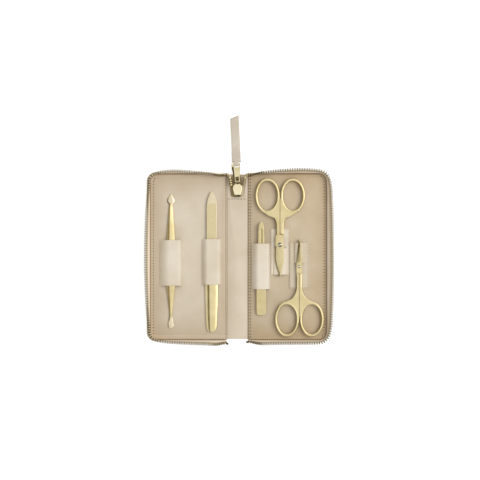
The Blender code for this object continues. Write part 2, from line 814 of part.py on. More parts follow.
def strap():
    """Leather folded round the pull's end bar, with its two layers lying together to a slanted end."""
    inner, outer = STRAP_FOLD_INSIDE, STRAP_FOLD_OUTSIDE
    neck = []
    for radius in (inner, outer):
        bend = arc((0, 0), (radius, radius), math.radians(90), math.radians(270), ARC_STEPS)
        turn = [(STRAP_NECK_LENGTH, radius), *bend, (STRAP_NECK_LENGTH, -radius)]
        neck += turn if radius == inner else turn[::-1]
    bm = bmesh.new()
    for x in (-STRAP_NECK / 2, STRAP_NECK / 2):
        bm.faces.new([bm.verts.new((x, y, z)) for y, z in neck])
    near, far = (list(face.verts) for face in bm.faces)
    for i in range(len(neck)):
        j = (i + 1) % len(neck)
        bm.faces.new((near[i], near[j], far[j], far[i]))
    bmesh.ops.recalc_face_normals(bm, faces=bm.faces)
    body = mesh_piece("pull_strap", bm, pale_leather("pull_strap"))
    half = STRAP_WIDTH / 2
    near_y = STRAP_NECK_LENGTH - STRAP_LEATHER
    outline = [(-half, near_y), (half, near_y), (half, STRAP_LENGTH), (-half, STRAP_LENGTH - STRAP_CUT)]
    band = as_mesh(plate("strap_band", [outline], -STRAP_FOLD_OUTSIDE, -STRAP_SPLIT / 2, None))
    combine(body, "UNION", [band])
    end = Vector((-PULL_RUN * math.sin(PULL_LEAN), LUG_Y + PULL_RUN * math.cos(PULL_LEAN), PULL_END_Z))
    turn = Matrix.Translation(end) @ Matrix.Rotation(PULL_LEAN, 4, "Z")
    bpy.context.view_layer.update()
    for piece in (body, band):
        piece.matrix_world = turn @ piece.matrix_world
    return body


# The sleeves and the scissors' loops
def arch(half_width, rise):
    """Points over a boxy arch, from left to right, as (x, height)."""
    points = []
    for i in range(ARCH_STEPS + 1):
        angle = math.pi * (1 - i / ARCH_STEPS)
        across = math.copysign(abs(math.cos(angle)) ** 0.6, math.cos(angle))
        points.append((half_width * across, rise * math.sin(angle) ** 0.6))
    return points


def sleeve(name, x, y, tool_width, tool_top, ease):
    """A leather sleeve over a tool, sewn to the lining along its two hems and open at both ends."""
    half = sleeve_half_width(tool_width, ease)
    profile = [(-half, 0), *arch(half - SLEEVE_HEM, tool_top + SLEEVE_HEADROOM - TOOL_Z), (half, 0)]
    rows = [[(px, py, pz) for px, pz in profile] for py in (-SLEEVE_LENGTH / 2, SLEEVE_LENGTH / 2)]
    obj = skin(name, rows, SLEEVE, pale_leather(name), 1)
    obj.location = (x, y, TOOL_Z)
    return obj


def scissors_loop(name, x, y, scissors, facing):
    """A flat patch with a slit across it. Past the slit the leather arches over the rear blade."""
    half = loop_half_width(scissors)
    raised = arch(half - scissors["hem"], LOOP_INSIDE_Z - TOOL_Z)
    low = [(-half, 0), *[(px, 0) for px, _ in raised], (half, 0)]
    high = [(-half, 0), *raised, (half, 0)]
    slit = -(boss_radius(scissors) + SEAT_GAP)
    top = scissors["loop_v"] + SLEEVE_LENGTH / 2
    bottom = scissors["loop_v"] - SLEEVE_LENGTH / 2
    along = ((bottom, high), (slit - LOOP_SLIT, high), (slit, low), (top, low))
    rows = [[(facing * px, facing * v, pz) for px, pz in profile] for v, profile in along]
    middle = {(1, j) for j in range(1, len(low) - 2)}
    obj = skin(name, rows, LOOP, pale_leather(name), 1, middle)
    obj.location = (x, y, TOOL_Z)
    return obj


# The tools
def pusher():
    sections = []
    for along, across, up in PUSHER_SHARES:
        y = PUSHER_LENGTH * (0.5 - along)
        width, height = PUSHER_WIDTH / 2 * across, PUSHER_HEIGHT * up
        sections.append([(width * u, y, height * v) for u, v in RIDGE_SHARES])
    body = loft("pusher", sections, gold("pusher"))
    body.location = (-FOLD_X - PUSHER_X, PUSHER_Y, TOOL_Z)
    return body


def nail_file():
    """The handle's foot end stands off the case's lower wall, and the blade is set in its other end."""
    foot_y = FILE_FOOT_CLEARANCE - HALF_HEIGHT
    sections = []
    for along, across in HANDLE_SHARES:
        y = foot_y + FILE_HANDLE_LENGTH * (1 - along)
        width = FILE_HANDLE_WIDTH / 2 * across
        height = FILE_HANDLE_HEIGHT * across
        lift = (FILE_HANDLE_HEIGHT - height) / 2
        sections.append([(width * u, y, lift + height * v) for u, v in OVAL_SHARES])
    handle = loft("file_handle", sections, gold("file_handle"))
    half = FILE_BLADE_WIDTH / 2
    start = foot_y + FILE_HANDLE_LENGTH + SEAT_GAP
    tip_start = start + FILE_BLADE_LENGTH - FILE_POINT_LENGTH
    right = [(half * across, tip_start + FILE_POINT_LENGTH * along) for across, along in POINT_SHARES]
    left = [(-x, y) for x, y in reversed(right[:-1])]
    outline = [(-half, start), (half, start), *right, *left]
    bottom = (FILE_HANDLE_HEIGHT - FILE_BLADE) / 2
    blade = plate("file_blade", [outline], bottom, bottom + FILE_BLADE, gold("file_blade"))
    for piece in (handle, blade):
        piece.location += Vector((-FOLD_X - FILE_X, 0, TOOL_Z))
    return handle, blade


def tweezers():
    """Two flat arms joined at the wide end. The front arm springs open about its joined end."""
    half = TWEEZERS_WIDTH / 2
    right = [(half * across, TWEEZERS_LENGTH * along) for across, along in TWEEZERS_SHARES]
    outline = right + [(-x, y) for x, y in reversed(right)]
    rear = plate("tweezers_rear_arm", [outline], 0, TWEEZERS_ARM, gold("tweezers_rear_arm"))
    raised = [(x, y - TWEEZERS_JOINED) for x, y in outline]
    slot_top = TWEEZERS_LENGTH - TWEEZERS_JOINED - TWEEZERS_SLOT_INSET
    slot_low = slot_top - TWEEZERS_SLOT_LENGTH
    wide = TWEEZERS_SLOT_WIDTH / 2
    slot = [(-wide, slot_low), (-wide, slot_top), (wide, slot_top), (wide, slot_low)]
    hinge_z = TWEEZERS_ARM + SEAT_GAP / 2
    lift = TWEEZERS_ARM + SEAT_GAP - hinge_z + SEAT_GAP / 2
    front = plate(
        "tweezers_front_arm", [raised, slot], lift, lift + TWEEZERS_ARM, gold("tweezers_front_arm")
    )
    tilted = as_mesh(front)
    tilted.data.transform(Matrix.Translation((0, 0, tilted.location.z)))
    tilted.location = (0, TWEEZERS_JOINED, hinge_z)
    tilted.rotation_euler.x = TWEEZERS_OPEN
    foot = Vector((TWEEZERS_X, TWEEZERS_Y - TWEEZERS_LENGTH / 2, TOOL_Z))
    for piece in (rear, tilted):
        piece.location += foot
    return rear, tilted


def ring_and_shank(scissors):
    """The outline of one scissors half above the step, with its ring at -u, and the ring's hole."""
    split = SCISSORS_SPLIT / 2
    centre = (-ring_u(scissors), scissors["ring_v"])
    outline = [(-split, scissors["step"]), (-split, scissors["ring_v"])]
    outline += arc(centre, ring_outer(scissors), 0, scissors["leave_ring"], RING_STEPS)[1:]
    for across, along in scissors["web_shares"]:
        outline.append((-ring_u(scissors) * across, scissors["ring_v"] * along))
    shank = scissors["shank"]
    outline.append((-shank, scissors["ring_v"] * scissors["web_shares"][-1][1] - shank))
    outline.append((-shank, scissors["step"]))
    hole = arc(centre, scissors["ring_inner"], math.radians(360), 0, RING_STEPS)[:-1]
    return outline, hole


def blade_outline(scissors, sign):
    """One blade with its rounded head, whose radius stays inside the other half's step."""
    half, length = scissors["blade_half_width"], scissors["blade_length"]
    points = [(half * across, length * along) for across, along in scissors["blade_shares"]]
    head = scissors["step"] - STEP_GAP
    across = min(abs(points[0][0]), abs(points[-1][0]))
    corner = math.asin(across / head)
    start = math.radians(90) - corner
    end = math.radians(90) + corner
    points += arc((0, 0), (head, head), start, end, ARC_STEPS)
    return [(sign * u, v) for u, v in (points if sign > 0 else reversed(points))]


def scissors_half(name, scissors, front):
    """One half: ring, shank and blade. The front half has its ring at -u and its blade on top."""
    sign = 1 if front else -1
    outline, hole = ring_and_shank(scissors)
    if not front:
        outline = [(-u, v) for u, v in reversed(outline)]
        hole = [(-u, v) for u, v in reversed(hole)]
    bottom = FRONT_BLADE_Z if front else REAR_BLADE_Z
    ring_top = REAR_BLADE_Z + RING_THICK
    ring = plate(name, [outline, hole], REAR_BLADE_Z, ring_top, gold(name), RING_CHAMFER)
    body = as_mesh(ring)
    body.data.materials.append(gold(name))
    blade = as_mesh(plate(name + "_blade", [blade_outline(scissors, 1)], bottom, bottom + BLADE, None))
    split = SCISSORS_SPLIT / 2
    shank = scissors["shank"]
    root = sorted((-sign * split, -sign * shank))
    low = (root[0], scissors["step"] - 2 * STEP_GAP, bottom)
    high = (root[1], scissors["step"] + shank, bottom + BLADE)
    joined = [blade, block(name + "_root", low, high)]
    if front:
        boss_z = FRONT_BLADE_Z - BOSS_RISE
        height = BOSS_RISE + BLADE / 2
        joined.append(rod(name + "_boss", (0, 0, boss_z + height / 2), boss_radius(scissors), height))
    combine(body, "UNION", joined)
    shaft = scissors["screw"] * SCREW_SHAFT_SHARE + SEAT_GAP
    depth = FRONT_BLADE_TOP - REAR_BLADE_Z
    bore = rod(name + "_bore", (0, 0, REAR_BLADE_Z + depth / 2), shaft, depth + CUT_OVERRUN)
    combine(body, "DIFFERENCE", [bore])
    return [body, *joined, bore]


def pivot_screw(name, scissors):
    """A slotted screw whose shaft runs down through both halves."""
    head_z = FRONT_BLADE_TOP + SEAT_GAP
    top = head_z + SCREW_HEAD
    length = top - REAR_BLADE_Z
    radius = scissors["screw"]
    body = rod(name, (0, 0, REAR_BLADE_Z + length / 2), radius * SCREW_SHAFT_SHARE, length)
    body.data.materials.append(steel(name))
    head = rod(name + "_head", (0, 0, head_z + SCREW_HEAD / 2), radius, SCREW_HEAD)
    reach = radius + CUT_OVERRUN
    low = (-reach, -SCREW_SLOT / 2, top - SCREW_SLOT_DEPTH)
    high = (reach, SCREW_SLOT / 2, top + CUT_OVERRUN)
    slot = block(name + "_slot", low, high)
    combine(body, "UNION", [head])
    combine(body, "DIFFERENCE", [slot])
    return [body, head, slot]


def scissors_set(word, scissors, x, y, facing):
    """Rear half, front half and screw, turned half round where the rings point down the case."""
    turn = Matrix.Translation((x, y, 0)) @ Matrix.Rotation(0 if facing > 0 else math.pi, 4, "Z")
    rear = scissors_half(word + "_rear", scissors, False)
    front = scissors_half(word + "_front", scissors, True)
    screw = pivot_screw(word + "_screw", scissors)
    bpy.context.view_layer.update()
    for piece in rear + front + screw:
        piece.matrix_world = turn @ piece.matrix_world
    return rear, front, screw


def build():
    spine_parts()
    zip_on_spine()
    carried = {}
    for side, word in ((-1, "left"), (1, "right")):
        pieces = [*flat_parts(side, word), *wall_and_tape(side, word)]
        pieces.append(chain(word + "_zip_teeth", side, wall_lines()))
        pieces.append(top_stop(side, word))
        carried[word] = pieces
    file_top = TOOL_Z + FILE_HANDLE_HEIGHT
    pusher_top = TOOL_Z + PUSHER_HEIGHT
    tips_apart = (TWEEZERS_LENGTH - TWEEZERS_JOINED) * math.sin(TWEEZERS_OPEN)
    tweezers_top = TOOL_Z + 2 * TWEEZERS_ARM + SEAT_GAP + tips_apart
    carried["left"] += [
        sleeve("pusher_sleeve", -FOLD_X - PUSHER_X, PUSHER_SLEEVE_Y, PUSHER_WIDTH, pusher_top, PUSHER_SLEEVE_EASE),
        sleeve("file_sleeve", -FOLD_X - FILE_X, FILE_SLEEVE_Y, FILE_HANDLE_WIDTH, file_top, FILE_SLEEVE_EASE),
    ]
    carried["right"] += [
        sleeve(
            "tweezers_sleeve", TWEEZERS_X, TWEEZERS_SLEEVE_Y, TWEEZERS_WIDTH, tweezers_top, TWEEZERS_SLEEVE_EASE
        ),
        scissors_loop("nail_scissors_loop", NAIL_X, NAIL_Y, NAIL, 1),
        scissors_loop("cuticle_scissors_loop", CUTICLE_X, CUTICLE_Y, CUTICLE, -1),
    ]
    carried["left"] += [pusher(), *nail_file()]
    carried["right"] += tweezers()
    for facing, word, scissors, x, y in (
        (1, "nail_scissors", NAIL, NAIL_X, NAIL_Y),
        (-1, "cuticle_scissors", CUTICLE, CUTICLE_X, CUTICLE_Y),
    ):
        for pieces in scissors_set(word, scissors, x, y, facing):
            carried["right"] += pieces
    for side, word in ((-1, "left"), (1, "right")):
        carry(axis_empty(word + "_fold_axis", (side * FOLD_X, 0, FOLD_Z)), *carried[word])
    slider()
    pull()
    strap()


build()
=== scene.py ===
import math

import bmesh
import bpy
from mathutils import Matrix, Vector


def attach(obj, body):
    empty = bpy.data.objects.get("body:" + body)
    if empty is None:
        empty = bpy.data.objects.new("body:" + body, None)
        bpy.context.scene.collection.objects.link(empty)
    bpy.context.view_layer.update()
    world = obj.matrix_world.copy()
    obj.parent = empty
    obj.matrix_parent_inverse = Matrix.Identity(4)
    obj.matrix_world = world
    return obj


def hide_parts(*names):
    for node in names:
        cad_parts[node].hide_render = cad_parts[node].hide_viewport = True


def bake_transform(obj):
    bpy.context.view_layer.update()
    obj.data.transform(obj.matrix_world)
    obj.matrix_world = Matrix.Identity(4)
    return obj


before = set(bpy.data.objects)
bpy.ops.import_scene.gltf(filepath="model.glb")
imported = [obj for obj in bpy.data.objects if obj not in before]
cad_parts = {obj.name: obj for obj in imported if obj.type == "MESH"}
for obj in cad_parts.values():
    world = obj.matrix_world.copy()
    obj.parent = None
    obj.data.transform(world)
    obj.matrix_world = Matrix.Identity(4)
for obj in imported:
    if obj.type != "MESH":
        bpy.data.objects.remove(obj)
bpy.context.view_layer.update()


# Outer cover. One skin of smooth beige cowhide wraps both halves and the spine. Its edge is turned
# and held by a row of thread sunk in a groove. It is glued to greyboard and folds at the spine;
# here it is cut down the middle of the spine into two skins that stay where they lie.
COVER_HALF_WIDTH = 0.08356
COVER_HALF_HEIGHT = 0.0781
COVER_WAIST = 0.0022
COVER_THICK = 0.0012
COVER_CORNER = 0.0084
COVER_EDGE_RADIUS = 0.0004
COVER_EDGE_Y = 0.0700
COVER_GROOVE_INSET = 0.0019
COVER_GROOVE_HALF = 0.0004
COVER_GROOVE_DEPTH = 0.00024
COVER_CUTS = (0.0072, 0.0080, 0.0086, 0.0092, 0.0098, 0.0104, 0.0110, 0.0118, 0.0150, 0.0200, 0.0300, 0.0550)
# the edge draws in by the whole waist over the spine, and by these shares at the cuts beside it
WAIST_HALF = 0.0093
WAIST_SHARES = ((0.0098, 0.82), (0.0104, 0.50), (0.0110, 0.36), (0.0118, 0.34), (0.0150, 0.26), (0.0200, 0.14))
# the lining's outline comes here, and a painted light strip runs along it
LINING_REACH = 0.08186
LINING_HALF_HEIGHT = 0.0764
LINING_CORNER = 0.0067
CREASE_WIDTH = 0.0011
CREASE_RADIUS = 0.0055
CREASE_END = 0.0010
SHARP_ANGLE = 1.2


def hold(piece):
    """Makes this the only piece in hand."""
    bpy.ops.object.select_all(action="DESELECT")
    piece.select_set(True)
    bpy.context.view_layer.objects.active = piece


def pick(kind, wanted):
    """In edit mode, picks the corners (VERT), edges (EDGE) or faces (FACE) that pass a test."""
    bpy.ops.mesh.select_mode(type=kind)
    bpy.ops.mesh.select_all(action="DESELECT")
    bm = bmesh.from_edit_mesh(bpy.context.object.data)
    for item in {"VERT": bm.verts, "EDGE": bm.edges, "FACE": bm.faces}[kind]:
        if wanted(item):
            item.select_set(True)
    bm.select_flush_mode()
    bmesh.update_edit_mesh(bpy.context.object.data)


def work_on(piece, kind, wanted):
    """Opens a piece in edit mode with some of it picked."""
    hold(piece)
    bpy.ops.object.mode_set(mode="EDIT")
    pick(kind, wanted)


def all_of(item):
    """Picks everything."""
    return True


def is_sharp(edge):
    """Picks an edge whose two faces turn by more than SHARP_ANGLE, in radians."""
    return len(edge.link_faces) == 2 and edge.calc_face_angle(0) > SHARP_ANGLE


def level_with(value, place):
    """Whether a coordinate lies at a place, within a hundredth of a millimetre."""
    return abs(value - place) < 0.00001


def close_up():
    """Merges the doubles of the piece in hand, turns every face outwards and leaves edit mode."""
    bpy.ops.object.mode_set(mode="EDIT")
    bpy.ops.mesh.select_mode(type="VERT")
    bpy.ops.mesh.select_all(action="SELECT")
    bpy.ops.mesh.remove_doubles(threshold=0.000002)
    bpy.ops.mesh.normals_make_consistent(inside=False)
    bpy.ops.object.mode_set(mode="OBJECT")


def treat(piece, kind, **settings):
    """Adds one modifier and applies it."""
    hold(piece)
    modifier = piece.modifiers.new("treatment", kind)
    for name, value in settings.items():
        setattr(modifier, name, value)
    bpy.ops.object.modifier_apply(modifier=modifier.name)


def soften(piece, degrees, flats=False):
    """Shades a piece smooth, apart from edges sharper than this. flats keeps its large faces level."""
    hold(piece)
    bpy.ops.object.shade_smooth_by_angle(angle=math.radians(degrees))
    if flats:
        treat(piece, "WEIGHTED_NORMAL", keep_sharp=True)


def thicken(piece, thick, offset=0):
    """Gives a sheet its thickness: below it (-1), to both sides (0) or above it (1)."""
    treat(piece, "SOLIDIFY", thickness=thick, offset=offset, use_even_offset=True)


def round_over(piece, wanted, radius, segments, degrees):
    """Rounds the edges that pass a test, then closes the piece up and shades it."""
    work_on(piece, "EDGE", wanted)
    bpy.ops.mesh.bevel(offset=radius, segments=segments, affect="EDGES")
    close_up()
    soften(piece, degrees)


def twin(piece, name):
    """A copy with its own mesh."""
    copied = piece.copy()
    copied.data = piece.data.copy()
    copied.name = name
    bpy.context.collection.objects.link(copied)
    return copied


def sized(name, size):
    """Names the new piece in hand and gives it its size."""
    piece = bpy.context.object
    piece.name = name
    piece.scale = size
    bpy.ops.object.transform_apply(location=True, rotation=True, scale=True)
    return piece


def sheet(name, width, height, place):
    """A flat sheet, level and centred on a place."""
    bpy.ops.object.select_all(action="DESELECT")
    bpy.ops.mesh.primitive_plane_add(size=1, location=place)
    return sized(name, (width, height, 1))


def block(name, size, place):
    """A block centred on a place."""
    bpy.ops.object.select_all(action="DESELECT")
    bpy.ops.mesh.primitive_cube_add(size=1, location=place)
    return sized(name, size)


def paint(code):
    """A colour written as sRGB hex, turned to linear."""
    parts = [int(code[i : i + 2], 16) / 255 for i in (1, 3, 5)]
    return (*[p / 12.92 if p <= 0.04045 else ((p + 0.055) / 1.055) ** 2.4 for p in parts], 1)


def feed(node, inputs):
    """Gives a node's sockets their values or links."""
    for socket, value in inputs.items():
        if isinstance(value, bpy.types.NodeSocket):
            node.id_data.links.new(value, node.inputs[socket])
        else:
            node.inputs[socket].default_value = value


def put(tree, kind, inputs=(), stops=(), **settings):
    """Adds a shader node: its settings, its sockets' values or links, and a ramp's stops."""
    made = tree.nodes.new("ShaderNode" + kind)
    for name, value in settings.items():
        setattr(made, name, value)
    feed(made, dict(inputs))
    if stops:
        elements = made.color_ramp.elements
        while len(elements) < len(stops):
            elements.new(0.5)
        for element, (at, colour) in zip(elements, stops):
            element.position = at
            element.color = paint(colour)
    return made


def blank(name):
    """A new material with its shader, and its tree."""
    material = bpy.data.materials.new(name)
    material.use_nodes = True
    tree = material.node_tree
    return material, tree, tree.nodes["Principled BSDF"]


def smooth_cowhide(name, tones, pore, sheen_low, sheen_high, shade=0.0, fold=0.6, tuck=0.001):
    """Corrected-grain cowhide, dyed and plated smooth. It gives a soft even sheen, faint cloudy
    patches 20 mm across, and fine pores under a millimetre that only a close look finds. shade is
    how much painted shade darkens it towards the walls, fold the share of that painted shade at the
    fold, and tuck how far in from the side the painted brown crease shade beside the wall starts.
    A painted light strip runs past that crease."""
    material, tree, shader = blank(name)
    place = put(tree, "TexCoord").outputs["Object"]
    clouds = put(tree, "TexNoise", {"Vector": place, "Scale": 1 / 0.022, "Detail": 3.0, "Roughness": 0.55})
    dye = put(tree, "ValToRGB", {"Fac": clouds.outputs["Fac"]}, stops=tuple(zip((0.30, 0.52, 0.72), tones)))
    pores = put(tree, "TexVoronoi", {"Vector": place, "Scale": 1 / pore}, feature="DISTANCE_TO_EDGE")
    valley = put(tree, "MapRange", {"Value": pores.outputs["Distance"], "From Max": 0.16})
    depth = put(tree, "MapRange", {"Value": valley.outputs["Result"], "To Min": 0.22, "To Max": 0.0})
    tint = {0: depth.outputs["Result"], 6: dye.outputs["Color"], 7: paint(tones[0])}
    colour = put(tree, "Mix", tint, data_type="RGBA").outputs[2]
    if shade:
        split = put(tree, "SeparateXYZ", {"Vector": place})
        far_x, far_y = (
            put(tree, "Math", {0: split.outputs[axis]}, operation="ABSOLUTE").outputs["Value"] for axis in "XY"
        )
        # painted shade towards the walls and at the fold: the distance, where that starts and ends, and its share
        near = 0.0
        for far, start, end, most in (
            (far_x, 0.056, 0.082, 1.0), (far_y, 0.044, 0.077, 1.0), (far_x, 0.024, 0.010, fold)
        ):
            span = {"Value": far, "From Min": start, "From Max": end, "To Max": most}
            painted_wall_shade = put(tree, "MapRange", span, interpolation_type="SMOOTHSTEP").outputs["Result"]
            near = put(tree, "Math", {0: near, 1: painted_wall_shade}, operation="MAXIMUM").outputs["Value"]
        amount = put(tree, "Math", {0: near, 1: shade}, operation="MULTIPLY")
        # painted shade: a brown crease beside the wall, round the corners too; painted light: a pale strip past it
        past = []
        for far, straight in (
            (far_x, LINING_REACH - tuck - CREASE_RADIUS), (far_y, LINING_HALF_HEIGHT - CREASE_END - CREASE_RADIUS)
        ):
            beside = put(tree, "Math", {0: far, 1: straight}, operation="SUBTRACT").outputs["Value"]
            past.append(put(tree, "Math", {0: beside, 1: 0.0}, operation="MAXIMUM").outputs["Value"])
        outward = put(tree, "CombineXYZ", {"X": past[0], "Y": past[1]})
        reach = put(tree, "VectorMath", {0: outward.outputs["Vector"]}, operation="LENGTH").outputs["Value"]
        span = {"Value": reach, "From Min": CREASE_RADIUS, "From Max": CREASE_RADIUS + 0.0005, "To Max": 0.75}
        painted_crease_shade = put(tree, "MapRange", span)
        end = CREASE_RADIUS + CREASE_WIDTH
        painted_light_strip = put(tree, "MapRange", {"Value": reach, "From Min": end, "From Max": end + 0.0004, "To Max": 0.8})
        # colours of the painted shade, the painted crease shade and the painted light strip
        for share, code in ((amount, "#A88C63"), (painted_crease_shade, "#7E5F39"), (painted_light_strip, "#EBDDC6")):
            tint = {0: share.outputs[0], 6: colour, 7: paint(code)}
            colour = put(tree, "Mix", tint, data_type="RGBA").outputs[2]
    fine = put(tree, "TexNoise", {"Vector": place, "Scale": 1 / 0.00035, "Detail": 2.0})
    relief = put(tree, "Math", {0: valley.outputs["Result"], 1: fine.outputs["Fac"]}, operation="ADD")
    bump = put(tree, "Bump", {"Strength": 0.25, "Distance": 0.00006, "Height": relief.outputs["Value"]})
    wear = put(tree, "TexNoise", {"Vector": place, "Scale": 1 / 0.009, "Detail": 4.0}).outputs["Fac"]
    sheen = {"Value": wear, "From Min": 0.3, "From Max": 0.7, "To Min": sheen_low, "To Max": sheen_high}
    rough = put(tree, "MapRange", sheen).outputs["Result"]
    feed(shader, {"Base Color": colour, "Normal": bump.outputs["Normal"], "Roughness": rough})
    feed(shader, {"Specular IOR Level": 0.42})
    return material


cover_hide = smooth_cowhide("cover_cowhide", ("#CDB897", "#D8C6A9", "#E0D0B7"), 0.0010, 0.42, 0.56)

cover = sheet("cover_blank", 2 * COVER_HALF_WIDTH, 2 * COVER_HALF_HEIGHT, (0, 0, 0))
work_on(cover, "VERT", all_of)
bpy.ops.mesh.bevel(offset=COVER_CORNER, segments=10, affect="VERTICES")
pick("FACE", all_of)
bpy.ops.mesh.inset(thickness=COVER_GROOVE_INSET, depth=0)
bpy.ops.mesh.inset(thickness=COVER_GROOVE_HALF, depth=COVER_GROOVE_DEPTH)
bpy.ops.mesh.inset(thickness=COVER_GROOVE_HALF, depth=-COVER_GROOVE_DEPTH)
for side in (-1, 1):
    for across in COVER_CUTS:
        pick("FACE", all_of)
        bpy.ops.mesh.bisect(plane_co=(side * across, 0, 0), plane_no=(1, 0, 0))
for end in (-1, 1):
    pick("VERT", lambda v: end * v.co.y > COVER_EDGE_Y and abs(v.co.x) < WAIST_HALF)
    bpy.ops.transform.translate(value=(0, -end * COVER_WAIST, 0))
    for across, share in WAIST_SHARES:
        pick("VERT", lambda v: end * v.co.y > COVER_EDGE_Y and level_with(abs(v.co.x), across))
        bpy.ops.transform.translate(value=(0, -end * COVER_WAIST * share, 0))
bpy.ops.object.mode_set(mode="OBJECT")
treat(cover, "SOLIDIFY", thickness=COVER_THICK, offset=1)
round_over(cover, is_sharp, COVER_EDGE_RADIUS, 3, 40)
for side, word in ((-1, "left"), (1, "right")):
    skin = twin(cover, word + "_cover_skin")
    work_on(skin, "FACE", all_of)
    bpy.ops.mesh.bisect(plane_co=(0, 0, 0), plane_no=(side, 0, 0), clear_inner=True, use_fill=True)
    bpy.ops.object.mode_set(mode="OBJECT")
    skin.data.materials.append(cover_hide)
    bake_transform(skin)
    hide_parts(word + "_cover")
    if side < 0:
        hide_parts("left_cover", "spine_cover")
bpy.data.objects.remove(cover)


# Boards. Grey board stiffens each half between cover and lining. It stops short of the fold, so
# that the lining can slope down to the spine there.
BOARD_START = 0.0117
BOARD_REACH = LINING_REACH
BOARD_LOW = 0.0015
BOARD_THICK = 0.0010
BOARD_EDGE = 0.00012


def greyboard(name):
    """Recycled board, calendered. It gives a dull grey brown with short fibres."""
    material, tree, shader = blank(name)
    place = put(tree, "TexCoord").outputs["Object"]
    fibres = put(tree, "TexNoise", {"Vector": place, "Scale": 1 / 0.0008, "Detail": 4.0})
    tone = put(tree, "ValToRGB", {"Fac": fibres.outputs["Fac"]}, stops=((0.3, "#7F7564"), (0.7, "#A59A86")))
    bump = put(tree, "Bump", {"Strength": 0.4, "Distance": 0.00005, "Height": fibres.outputs["Fac"]})
    feed(shader, {"Base Color": tone.outputs["Color"], "Normal": bump.outputs["Normal"], "Roughness": 0.9})
    return material


board_stock = greyboard("greyboard")
for side, word in ((-1, "left"), (1, "right")):
    board = block(
        word + "_board_blank",
        (BOARD_REACH - BOARD_START, 2 * LINING_HALF_HEIGHT, BOARD_THICK),
        (side * (BOARD_START + BOARD_REACH) / 2, 0, BOARD_LOW + BOARD_THICK / 2),
    )
    # the two upright edges away from the spine, then all the others
    work_on(
        board,
        "EDGE",
        lambda e: abs(e.verts[0].co.z - e.verts[1].co.z) > BOARD_THICK / 2
        and side * e.verts[0].co.x > BOARD_REACH / 2,
    )
    bpy.ops.mesh.bevel(offset=LINING_CORNER, segments=6, affect="EDGES")
    pick("EDGE", is_sharp)
    bpy.ops.mesh.bevel(offset=BOARD_EDGE, segments=1, affect="EDGES")
    close_up()
    soften(board, 40)
    board.data.materials.append(board_stock)
    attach(board, word + "_half")
    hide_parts(word + "_board")


# Linings. Smooth beige leather covers the inside of each half. A sewn groove runs round the three
# walled sides, and the edge at the spine is rolled down over the board.
LINING_START = 0.0100
LINING_SPARE = 0.0080
LINING_LOW = 0.0028
LINING_THICK = 0.0006
LINING_SHELL = 0.0005
LINING_EDGE_RADIUS = 0.00022
TRAY_Z = LINING_LOW + LINING_THICK
LINING_SEAMS = {"left": 0.0043, "right": 0.0020}
SEAM_HALF = 0.0004
SEAM_DIP = 0.00016
# the thread beside the fold stands in one row on the left half and in two on the right
INNER_SEAMS = {"left": (0.0108,), "right": (0.0106, 0.0123)}
INNER_SEAM_HALF = 0.0740
INNER_STITCH_RISE = 0.00014
# how the edge rolls down at the spine: towards it and down, in two turns
LINING_ROLLS = {
    "left": ((-0.00034, -0.00012), (-0.00004, -0.00050)),
    "right": ((-0.00020, -0.00012), (-0.00004, -0.00050)),
}
STITCH_PITCH = 0.0028
STITCH_SIZE = (0.00092, 0.00032, 0.00022)
THREAD_LIFT = 0.00002
HOLE_RADIUS = 0.00052
HOLE_DEPTH = 0.00008

# the right lining is given deeper tones than the left one; both linings carry painted shade
lining_hides = {
    "left": smooth_cowhide(
        "left_lining_cowhide", ("#D3C4AC", "#DACCB6", "#DED2BE"), 0.0008, 0.44, 0.58, 0.40, 1.0, 0.0027
    ),
    "right": smooth_cowhide("right_lining_cowhide", ("#C5B192", "#CCBA9D", "#D2C2A8"), 0.0008, 0.44, 0.58, 0.40),
}


def polyester_thread(name, colour, dark):
    """Bonded three-ply polyester thread. It gives small round highlights and a faint twist."""
    material, tree, shader = blank(name)
    place = put(tree, "TexCoord").outputs["Object"]
    plies = {"Vector": place, "Scale": 1 / 0.0012, "Distortion": 0.6}
    twist = put(tree, "TexWave", plies, bands_direction="DIAGONAL").outputs["Fac"]
    tone = put(tree, "ValToRGB", {"Fac": twist}, stops=((0.1, dark), (0.8, colour)))
    bump = put(tree, "Bump", {"Strength": 0.3, "Distance": 0.00004, "Height": twist})
    feed(shader, {"Base Color": tone.outputs["Color"], "Normal": bump.outputs["Normal"], "Roughness": 0.5})
    return material


def needle_shadow(name):
    """Painted shade for the dark inside of a needle hole in pressed leather. It gives the row its fine dots."""
    material, tree, shader = blank(name)
    place = put(tree, "TexCoord").outputs["Object"]
    hole_shade_noise = put(tree, "TexNoise", {"Vector": place, "Scale": 1 / 0.0005})
    tone = put(tree, "ValToRGB", {"Fac": hole_shade_noise.outputs["Fac"]}, stops=((0.3, "#3F2F1A"), (0.7, "#5C482C")))
    feed(shader, {"Base Color": tone.outputs["Color"], "Roughness": 0.85})
    return material


thread = polyester_thread("beige_thread", "#DFCFB2", "#C2AC88")
needle_hole = needle_shadow("needle_hole")

# one stitch lies along X between two needle holes, and every row of thread is made of its copies
bpy.ops.object.select_all(action="DESELECT")
bpy.ops.mesh.primitive_uv_sphere_add(segments=8, ring_count=5, radius=1, rotation=(0, math.radians(90), 0))
bpy.ops.object.transform_apply(location=True, rotation=True, scale=True)
stitch = sized("stitch", STITCH_SIZE)
stitch.data.materials.append(thread)
bpy.ops.mesh.primitive_circle_add(vertices=8, radius=HOLE_RADIUS, fill_type="NGON", location=(0, 0, 0))
hole = bpy.context.object
work_on(hole, "FACE", all_of)
bpy.ops.mesh.extrude_region_move(TRANSFORM_OT_translate={"value": (0, 0, -HOLE_DEPTH)})
close_up()
hole.data.materials.append(needle_hole)
for piece in (stitch, hole):
    soften(piece, 60)


